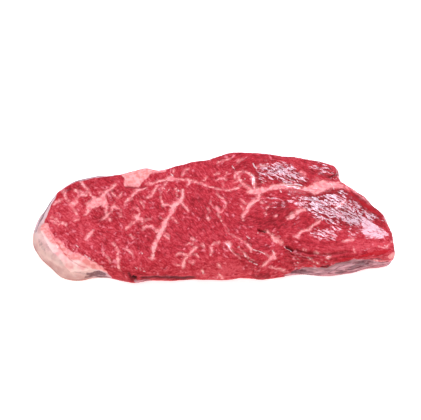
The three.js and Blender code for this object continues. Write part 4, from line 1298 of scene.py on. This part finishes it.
@dataclass
class BeefNodes:
    """The raw beef material while it is put together."""

    look: RawBeef
    tree: bpy.types.NodeTree
    where: bpy.types.NodeSocket  # place on the steak
    channels: dict[Channel, bpy.types.NodeSocket]

    def finish(self) -> None:
        """Join colour, roughness, juice and relief in the shader."""
        tree, look, channels = self.tree, self.look, self.channels
        fat_share = self.fat_share()
        skin_share = self.ragged(channels[Channel.SKIN], 2.2, 0.5, 0.35, 0.65)
        fibres = self.threads(4.0, 0.8)
        colour = self.lean(fibres)
        clear = self.ragged(channels[Channel.SCARLET], 1.8, 0.5, 0.15, 0.95)
        juice = self.juice(self.threads(6.5, 0.95, 1.0))
        # Where the juice is thickest its colour turns pale lavender: a painted sheen.
        film = add_node(tree, "Math", {0: channels[Channel.GLAZE], 1: juice}, operation="MULTIPLY")
        for share, strength, cover in (
            (film, look.painted_sheen_share, look.film),
            (fat_share, 1.0, self.fat()),
            (skin_share, 1.0, self.skin()),
            (clear, look.scarlet_share, look.scarlet),
            # Veins, dried edges and painted shade.
            (self.ragged(channels[Channel.VEIN_AND_SHADE], 1.2, 0.5, 0.15, 1.1), look.vein_and_shade_share, look.vein_and_shade),
            # Blood and painted shade in creases and under the front edge.
            (channels[Channel.BLOOD_AND_SHADE], 1.0, look.blood_and_shade),
            # Painted glints: white specks that stand in for highlights.
            (self.ragged(channels[Channel.PAINTED_GLINT], 1.2, 0.5, 0.4, 1.0), look.painted_glint_share, look.painted_glint),
        ):
            share = add_node(tree, "Math", {0: share, 1: strength}, operation="MULTIPLY")
            colour = self.blend(share, colour, cover)
        rough = add_node(
            tree, "MapRange", {"Value": juice, "To Min": look.dry_roughness, "To Max": look.wet_roughness}
        )
        normal = self.relief(fat_share, fibres)
        shader = add_node(tree, "BsdfPrincipled", {
            "Base Color": colour,
            "Roughness": add_node(
                tree, "Math", {0: fat_share, 1: look.fat_roughness, 2: rough}, operation="MULTIPLY_ADD"
            ),
            "IOR": look.flesh_ior,
            "Specular IOR Level": 0.25,
            "Subsurface Weight": 0.15,
            "Subsurface Radius": (1.0, 0.32, 0.28),
            "Subsurface Scale": 0.001,
            "Coat Weight": juice,
            "Coat Roughness": look.juice_roughness,
            "Coat IOR": look.juice_ior,
            "Normal": normal,
        })
        add_node(tree, "OutputMaterial", {"Surface": shader})

    def ragged(
        self, value: bpy.types.NodeSocket, size: float, wander: float, low: float, high: float
    ) -> bpy.types.NodeSocket:
        """Turn a painted value into an area with a ragged edge.

        Args:
            value: the painted value.
            size: the size of the edge's teeth in millimetres.
            wander: how far the teeth shift the value.
            low: value at which the area starts.
            high: value at which it is full, above or below low.

        Returns:
            The area's share, from 0 to 1.
        """
        scale = 1 / (size * MM)
        teeth = add_node(self.tree, "TexNoise", {"Vector": self.where, "Scale": scale, "Detail": 3.0})
        shift = add_node(self.tree, "Math", {0: teeth, 1: 2 * wander, 2: -wander}, operation="MULTIPLY_ADD")
        moved = add_node(self.tree, "Math", {0: value, 1: shift}, operation="ADD")
        return add_node(
            self.tree, "MapRange", {"Value": moved, "From Min": low, "From Max": high},
            interpolation_type="SMOOTHSTEP",
        )

    def threads(self, length: float, width: float, detail: float = 2.0) -> bpy.types.NodeSocket:
        """Threads that run as the fibres do, mixed from straight ones that point six ways.

        Args:
            length: how long a thread stays the same, in millimetres.
            width: distance between threads, in millimetres.
            detail: how many finer sizes of thread there are.

        Returns:
            A pattern from about -0.3 to 0.3.
        """
        tree, total = self.tree, 0.0
        for way in range(-90, 90, STEP):
            laid = add_node(tree, "Mapping", {
                "Vector": self.where, "Rotation": (0, 0, math.radians(way)),
                "Scale": (length * MM, width * MM, width * MM),
            }, vector_type="TEXTURE")
            pattern = add_node(tree, "TexNoise", {"Vector": laid, "Scale": 1.0, "Detail": detail})
            off = add_node(tree, "Math", {0: self.channels[Channel.TURN], 1: way}, operation="SUBTRACT")
            off = add_node(tree, "Math", {0: off}, operation="ABSOLUTE")
            share = add_node(tree, "MapRange", {"Value": off, "From Max": STEP, "To Min": 1.0, "To Max": 0.0})
            share = add_node(tree, "Math", {0: share}, operation="SQRT")
            centred = add_node(tree, "Math", {0: pattern, 1: 0.5}, operation="SUBTRACT")
            total = add_node(tree, "Math", {0: centred, 1: share, 2: total}, operation="MULTIPLY_ADD")
        return total

    def cloud(self, size: float, low: float, high: float, detail: float = 2.0) -> bpy.types.NodeSocket:
        """Soft clouds.

        Args:
            size: distance between clouds in millimetres.
            low: value of the noise at which a cloud starts.
            high: value at which it is full.
            detail: how many finer sizes of cloud there are.

        Returns:
            A pattern from 0 to 1.
        """
        scale = 1 / (size * MM)
        cloudy = add_node(self.tree, "TexNoise", {"Vector": self.where, "Scale": scale, "Detail": detail})
        return add_node(
            self.tree, "MapRange", {"Value": cloudy, "From Min": low, "From Max": high},
            interpolation_type="SMOOTHSTEP",
        )

    def blend(self, share: bpy.types.NodeSocket, under: object, over: object) -> bpy.types.NodeSocket:
        """Lay one colour over another, each a socket or six hex digits."""
        first, second = (linear(c) if isinstance(c, str) else c for c in (under, over))
        return add_node(self.tree, "Mix", {0: share, 6: first, 7: second}, 2, data_type="RGBA")

    def lean(self, fibres: bpy.types.NodeSocket) -> bpy.types.NodeSocket:
        """Colour of the lean: bundles and threads of fibre, and flecks of fat among them.

        Args:
            fibres: the pattern of threads.

        Returns:
            The colour.
        """
        tree, look, channels = self.tree, self.look, self.channels
        tone = add_node(tree, "Math", {0: channels[Channel.TONE], 1: 0.45, 2: 0.5}, operation="MULTIPLY_ADD")
        sizes = ((look.blotch_mm, 0.55), (look.bundle_mm, 0.6), (look.clot_mm, 1.0), (look.grain_mm, 1.1))
        for mm, weight in sizes:
            pattern = add_node(tree, "TexNoise", {"Vector": self.where, "Scale": 1 / (mm * MM)})
            part = add_node(tree, "Math", {0: pattern, 1: weight, 2: -weight / 2}, operation="MULTIPLY_ADD")
            tone = add_node(tree, "Math", {0: tone, 1: part}, operation="ADD")
        strokes = self.threads(3.4, 1.3)
        for pattern, weight in ((fibres, 1.6), (strokes, 0.7)):
            tone = add_node(tree, "Math", {0: pattern, 1: weight, 2: tone}, operation="MULTIPLY_ADD")
        colour = linear(look.deep)
        for low, high, shade in ((-0.05, 0.5, look.lean), (0.5, 1.1, look.pale)):
            share = add_node(tree, "MapRange", {"Value": tone, "From Min": low, "From Max": high})
            colour = self.blend(share, colour, shade)
        haze = add_node(tree, "MapRange", {"Value": strokes, "From Min": 0.0, "From Max": 0.22})
        haze = add_node(tree, "Math", {0: haze, 1: channels[Channel.RICH]}, operation="MULTIPLY")
        haze = add_node(tree, "Math", {0: haze, 1: look.haze_share}, operation="MULTIPLY")
        colour = self.blend(haze, colour, look.haze)
        fleck = self.ragged(channels[Channel.FLECK], 1.3, 0.5, 0.1, 0.8)
        fleck = add_node(tree, "Math", {0: fleck, 1: look.fleck_share}, operation="MULTIPLY")
        return self.blend(fleck, colour, look.fleck)

    def fat_share(self) -> bpy.types.NodeSocket:
        """Find how much fat lies in seams and patches.

        Returns:
            The fat's share, from 0 to 1.
        """
        core = self.ragged(self.channels[Channel.SEAM], 2.0, 1.8, 0.25, -0.6)
        halo = self.ragged(self.channels[Channel.SEAM], 2.6, 1.8, 1.0, -0.3)
        patches = self.ragged(self.channels[Channel.FAT], 3.0, 1.2, 0.5, -0.5)
        soft = add_node(self.tree, "Math", {0: halo, 1: self.look.halo_share}, operation="MULTIPLY")
        seams = add_node(self.tree, "Math", {0: core, 1: soft}, operation="MAXIMUM")
        return add_node(self.tree, "Math", {0: seams, 1: patches}, operation="MAXIMUM")

    def fat(self) -> bpy.types.NodeSocket:
        """Colour of the fat: pink in the seams and beside the lean, cream inside the cap.

        Returns:
            The colour.
        """
        look = self.look
        colour = self.blend(self.cloud(2.2, 0.35, 0.65), look.seam_fat_deep, look.seam_fat)
        strip = self.ragged(self.channels[Channel.FAT], 4.0, 0.8, -0.6, -1.6)
        inner = self.ragged(self.channels[Channel.FAT], 4.0, 0.8, -3.6, -5.4)
        pink = self.blend(self.cloud(2.4, 0.4, 0.62, 3.0), look.strip_fat, look.seam_fat)
        cream = self.blend(self.cloud(5.0, 0.4, 0.7), look.cap_fat, look.cap_fat_deep)
        return self.blend(inner, self.blend(strip, colour, pink), cream)

    def skin(self) -> bpy.types.NodeSocket:
        """Colour of the outside: cream-grey rind by the cap, thin silvery membrane elsewhere.

        Returns:
            The colour.
        """
        tree, look = self.tree, self.look
        rind = self.blend(self.cloud(6.0, 0.4, 0.64, 4.0), look.rind, look.rind_grey)
        along, height = (add_node(tree, "SeparateXYZ", {"Vector": self.where}, axis) for axis in "XZ")
        # The rind turns darker and browner towards the table: partly its own colour, partly painted shade.
        foot = add_node(
            tree, "MapRange", {"Value": height, "From Min": 16 * MM, "From Max": 5 * MM, "To Max": 0.75}
        )
        rind = self.blend(foot, rind, look.rind_foot_shaded)
        drawn = add_node(
            tree, "Mapping", {"Vector": self.where, "Rotation": (0, 0.5, 0.35), "Scale": (0.3, 1.0, 1.6)}
        )
        veins = add_node(tree, "TexNoise", {"Vector": drawn, "Scale": 1 / (2.2 * MM), "Detail": 5.0})
        veins = add_node(tree, "MapRange", {"Value": veins, "From Min": 0.38, "From Max": 0.66})
        right = add_node(tree, "MapRange", {"Value": along, "From Min": -80 * MM, "From Max": -55 * MM})
        faint = add_node(tree, "MapRange", {"Value": self.threads(9.0, 2.0), "From Max": 0.2, "To Max": 0.7})
        faint = add_node(tree, "Math", {0: faint, 1: self.cloud(12.0, 0.3, 0.65)}, operation="MULTIPLY")
        silver = self.blend(faint, look.silverskin, look.silverskin_dull)
        veins = add_node(tree, "Math", {0: veins, 1: self.cloud(12.0, 0.25, 0.55)}, operation="MULTIPLY")
        flesh = add_node(tree, "Math", {0: self.cloud(13.0, 0.48, 0.72, 4.0), 1: 0.4}, operation="MULTIPLY")
        membrane = self.blend(veins, look.membrane, look.membrane_dull)
        film = self.blend(right, silver, self.blend(flesh, membrane, look.lean))
        return self.blend(self.ragged(self.channels[Channel.SILVER], 5.0, 0.8, 0.1, 0.9), rind, film)

    def juice(self, fibres: bpy.types.NodeSocket) -> bpy.types.NodeSocket:
        """How wet the surface is: in streaks along the fibres, and whole where the film is thick.

        Args:
            fibres: the pattern of threads.

        Returns:
            The film's share, from 0 to 1.
        """
        tree, wet, glaze = self.tree, self.channels[Channel.WET], self.channels[Channel.GLAZE]
        patchy = add_node(tree, "TexNoise", {"Vector": self.where, "Scale": 1 / (2.6 * MM), "Detail": 3.0})
        depth = add_node(tree, "Math", {0: glaze, 1: -1.9, 2: 3.8}, operation="MULTIPLY_ADD")
        shift = add_node(tree, "Math", {0: fibres, 1: depth}, operation="MULTIPLY")
        shift = add_node(tree, "Math", {0: patchy, 1: 1.0, 2: shift}, operation="MULTIPLY_ADD")
        thick = add_node(tree, "Math", {0: glaze, 1: 0.08, 2: wet}, operation="MULTIPLY_ADD")
        thick = add_node(tree, "Math", {0: thick, 1: shift}, operation="ADD")
        thick = add_node(tree, "MapRange", {"Value": thick, "From Min": 1.0, "From Max": 1.6})
        there = add_node(tree, "MapRange", {"Value": wet, "From Min": 0.02, "From Max": 0.3})
        return add_node(tree, "Math", {0: thick, 1: there}, operation="MULTIPLY")

    def relief(self, fat_share: bpy.types.NodeSocket, fibres: bpy.types.NodeSocket) -> bpy.types.NodeSocket:
        """Fine relief: threads of fibre along the face, and the grain of cut fibres.

        Args:
            fat_share: where fat lies, which is smoother.
            fibres: the pattern of threads.

        Returns:
            The normal.
        """
        tree = self.tree
        dull = add_node(
            tree, "Math", {0: self.channels[Channel.GLAZE], 1: -0.9, 2: 1.0}, operation="MULTIPLY_ADD"
        )
        laid = add_node(tree, "Math", {0: self.channels[Channel.COARSE], 1: dull}, operation="MULTIPLY")
        threads = add_node(tree, "Math", {0: fibres, 1: laid}, operation="MULTIPLY")
        grain = add_node(tree, "TexNoise", {"Vector": self.where, "Scale": 1 / (1.1 * MM), "Detail": 3.0})
        grain = add_node(tree, "Math", {0: grain, 1: dull}, operation="MULTIPLY")
        height = add_node(tree, "Math", {0: grain, 1: 0.4, 2: threads}, operation="MULTIPLY_ADD")
        smooth = add_node(tree, "Math", {0: fat_share, 1: -0.6, 2: 1.0}, operation="MULTIPLY_ADD")
        height = add_node(tree, "Math", {0: height, 1: smooth}, operation="MULTIPLY")
        return add_node(
            tree, "Bump", {"Height": height, "Strength": 0.7, "Distance": self.look.relief_mm * MM}
        )


@dataclass(frozen=True)
class Table:
    """A sheet of white painted board that the steak lies on."""

    size: float = 6.0
    gap: float = 0.0002  # under the steak, so that the two faces stay apart
    colour: str = "fafafa"
    roughness: float = 0.6
    tooth: float = 900.0  # grains of the paint to the metre
    glow: float = 0.65  # it is lit a little from below, so that shadows stay faint

    def build(self) -> None:
        """Lay the board just under the steak."""
        bpy.ops.mesh.primitive_plane_add(size=self.size, location=(0, 0, -self.gap))
        board = bpy.context.object
        board.name = "table"
        bpy.ops.object.transform_apply(location=True, rotation=True, scale=True)
        material = bpy.data.materials.new("white painted board")
        material.use_nodes = True
        tree = material.node_tree
        tree.nodes.clear()
        where = add_node(tree, "TexCoord", output="Object")
        tooth = add_node(tree, "TexNoise", {"Vector": where, "Scale": self.tooth, "Detail": 2.0})
        rough = add_node(tree, "Math", {0: tooth, 1: 0.1, 2: self.roughness}, operation="MULTIPLY_ADD")
        shader = add_node(tree, "BsdfPrincipled", {
            "Base Color": linear(self.colour), "Roughness": rough, "Specular IOR Level": 0.2,
            "Emission Color": linear(self.colour), "Emission Strength": self.glow,
        })
        add_node(tree, "OutputMaterial", {"Surface": shader})
        board.data.materials.append(material)
        LOG.info("table: %.0f m across", self.size)


@dataclass(frozen=True)
class Lamp:
    """A rectangular soft box."""

    name: str
    azimuth: float  # degrees, clockwise from the back as seen from above
    elevation: float
    distance: float
    size: Pair  # breadth and height
    power: float
    colour: str = "ffffff"

    def hang(self) -> None:
        """Hang the lamp and point it at the steak."""
        turn, rise = math.radians(self.azimuth), math.radians(self.elevation)
        away = Vector((math.sin(turn) * math.cos(rise), math.cos(turn) * math.cos(rise), math.sin(rise)))
        bpy.ops.object.light_add(type="AREA", location=away * self.distance)
        lamp = bpy.context.object
        lamp.name = self.name
        lamp.rotation_euler = away.to_track_quat("Z", "Y").to_euler()
        lamp.data.shape = "RECTANGLE"
        lamp.data.size, lamp.data.size_y = self.size
        lamp.data.energy = self.power
        lamp.data.color = linear(self.colour)[:3]
        LOG.info("%s: %.1f W", self.name, self.power)


@dataclass(frozen=True)
class Studio:
    """The soft light around the steak."""

    lamps: tuple[Lamp, ...] = (
        Lamp("window behind", -8, 65, 0.9, (0.68, 0.4), 4.4, "ecebff"),
        Lamp("window at the right", 53, 51, 0.9, (0.64, 0.52), 5.4, "ecebff"),
        Lamp("soft box in front", 195, 45, 1.2, (0.9, 0.9), 7.2, "fffaf6"),
    )
    sky: str = "ffffff"
    sky_strength: float = 0.14

    def build(self) -> None:
        """Light the scene."""
        world = bpy.data.worlds.new("studio")
        world.use_nodes = True
        background = world.node_tree.nodes["Background"]
        background.inputs["Color"].default_value = linear(self.sky)
        background.inputs["Strength"].default_value = self.sky_strength
        bpy.context.scene.world = world
        bpy.context.scene.view_settings.view_transform = "Standard"
        for lamp in self.lamps:
            lamp.hang()


def main() -> None:
    """Build the steak, its table and its light."""
    logging.basicConfig(level=logging.INFO, format="%(name)s: %(message)s")
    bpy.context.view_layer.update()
    view = View()
    view.set_up()
    Slice(view).build(RawBeef().build())
    Table().build()
    Studio().build()


if __name__ == "__main__":
    main()
